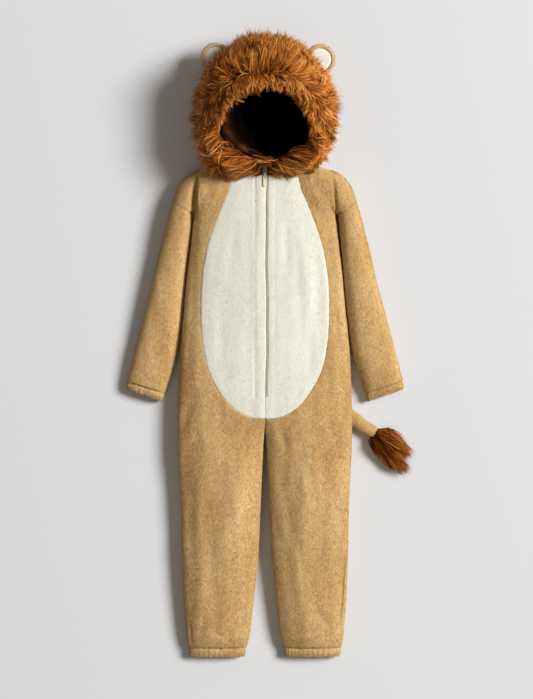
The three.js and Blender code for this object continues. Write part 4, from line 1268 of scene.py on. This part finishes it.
rings = tail_rings(40, 70)
ends = [ring.mean(axis=0) + (ring - ring.mean(axis=0)) * 0.02 for ring in (rings[0], rings[-1])]
grid = np.concatenate([ends[0][None], rings, ends[1][None]])
tail = mesh_object("tail_tube", grid.reshape(-1, 3), grid_faces(len(grid), 40, True, 0, False), tan)
finish_piece(tail, "tan_plush", "tail")
tail_normals = normals_of(rings, True)
tail_out = rings - rings.mean(axis=1, keepdims=True)
if np.sum(tail_normals * tail_out) < 0:
    tail_normals = -tail_normals
tail_skins = [(rings, tail_normals, True)]
pile = plush_pile("tail_pile", tail_skins, PILE["tail"], tan_pile, 811, nap=(0.8, -0.6, 0.0), length=3.6)
finish_piece(pile, "tan_plush")


# Where the tuft's pointed lobes end, along its direction and across it
TUFT_LOBES = np.array([[88, 23], [104, -11], [86, -25]], dtype=float)


def grow_tuft(count, locks, seed):
    """Straight hair bound at the tail's end, in pointed locks of uneven length."""
    rng = np.random.default_rng(seed)
    along = np.append(TUFT_DIRECTION / np.linalg.norm(TUFT_DIRECTION), 0.0)
    across = np.array([-along[1], along[0], 0.0])
    above = np.array([0.0, 0.0, 1.0])
    start = np.array([TAIL[-1, 0], TAIL[-1, 1], TAIL[-1, 3] / 2]) + along * 0.5
    turn = rng.uniform(0, 2 * math.pi, locks)
    spread = np.sqrt(rng.random(locks))
    fan, high = spread * np.cos(turn), spread * np.sin(turn)
    lobe = TUFT_LOBES[np.where(fan > 0.02, 0, np.where(fan > -0.55, 1, 2))]
    reach = lobe[:, 0] * np.clip(0.86 + 0.16 * rng.normal(size=locks), 0.45, 1.04)
    aside = lobe[:, 1] * 0.8 + 6.0 * np.clip(rng.normal(size=locks), -1.5, 1.5)
    tip = start + along * reach[:, None] + across * aside[:, None]
    tip = tip + above * (7 * high - 1)[:, None]
    lock = rng.integers(0, locks, count)
    near = rng.normal(size=(count, 2))
    foot_fan = np.clip(fan[lock] + 0.22 * near[:, 0], -1, 1)
    foot_high = np.clip(high[lock] + 0.22 * near[:, 1], -1, 1)
    root = start + across * (12.5 * foot_fan)[:, None] + above * (9 * foot_high)[:, None]
    end = tip[lock] + rng.normal(size=(count, 3)) * [2.6, 2.6, 1.4]
    end = end - along * (rng.random(count) * 26)[:, None]
    t = LEVELS[None, :, None]
    paths = root[:, None] * (1 - t) + end[:, None] * t
    swell = np.sin(math.pi * t**0.7)
    fanned, raised = (1.5 + 5.5 * foot_fan)[:, None, None], (4 * foot_high)[:, None, None]
    paths = paths + (across * fanned + above * raised) * swell
    bend = 3.2 * rng.normal(size=(locks, 3))[lock] + 1.6 * rng.normal(size=(count, 3))
    paths = paths + bend[:, None] * np.sin(math.pi * t)
    paths[..., 2] = np.maximum(paths[..., 2], 0.8)
    tone = 0.34 + 0.17 * rng.normal(size=locks)[lock] + 0.2 * rng.normal(size=count)
    shade = tone[:, None] - 0.36 + 0.68 * LEVELS[None, :] ** 0.9
    width = 0.5 + 0.3 * rng.random(count)
    up = across * foot_fan[:, None] + above * (0.6 + foot_high)[:, None]
    up /= np.linalg.norm(up, axis=1)[:, None]
    return strands("tail_tuft_pile", up, paths, width, shade, tuft_hair, seed + 1)


tuft = grow_tuft(5200, 120, 905)
finish_piece(tuft, "brown_fur", "tail_tuft")


# The zip: tapes, and a coil of teeth along the middle
def strip(name, x0, x1, low, high, y0, y1, material, step=8.0, crown=0.0):
    ys = np.arange(y0, y1 + step / 2, step)
    top = track(BODY, "top", np.minimum(ys, NECK_Y))
    rows = []
    for x, z in ((x0, low), (x0, high), ((x0 + x1) / 2, high + crown), (x1, high), (x1, low)):
        rows.append(np.stack([x + zip_sway(ys), ys, top + z], axis=-1))
    grid = np.stack(rows, axis=1)
    return mesh_object(name, grid.reshape(-1, 3), grid_faces(len(ys), 5, True, 0, False), material)


tape = strip("zip_tape_left_cloth", -6.7, -2.7, -3.6, -2.8, 521, 976, zip_cloth_painted_shade)
finish_piece(tape, "zip_tape", "zip_tape_left")
tape = strip("zip_tape_right_cloth", -1.5, 6.6, -3.0, -2.2, 521, 976, zip_cloth_painted_shade)
finish_piece(tape, "zip_tape", "zip_tape_right")


def coil(pitch=1.5):
    ys = np.arange(522, 975, pitch)
    top = track(BODY, "top", ys)
    block = []
    for x, dy, z in [[3.0, -0.55, -1.8], [5.6, -0.55, -1.8], [5.6, 0.55, -1.8], [3.0, 0.55, -1.8]]:
        block.append([x, dy, z])
    for x, dy, z in [[3.3, -0.4, -0.4], [5.3, -0.4, -0.4], [5.3, 0.4, -0.4], [3.3, 0.4, -0.4]]:
        block.append([x, dy, z])
    block = np.array(block)
    points = block[None] + np.stack([zip_sway(ys), ys, top], axis=-1)[:, None]
    quads = np.array([[0, 3, 2, 1], [4, 5, 6, 7], [0, 1, 5, 4], [1, 2, 6, 5], [2, 3, 7, 6], [3, 0, 4, 7]])
    faces = (quads[None] + (np.arange(len(ys)) * 8)[:, None, None]).reshape(-1, 4)
    return mesh_object("zip_coil", points.reshape(-1, 3), faces, zip_teeth)


teeth = coil()
finish_piece(teeth, "zip_teeth", "zip_chain")
for node in ("zip_slider", "zip_pull"):
    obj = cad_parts[node]
    obj.data.materials.clear()
    obj.data.materials.append(zip_enamel)
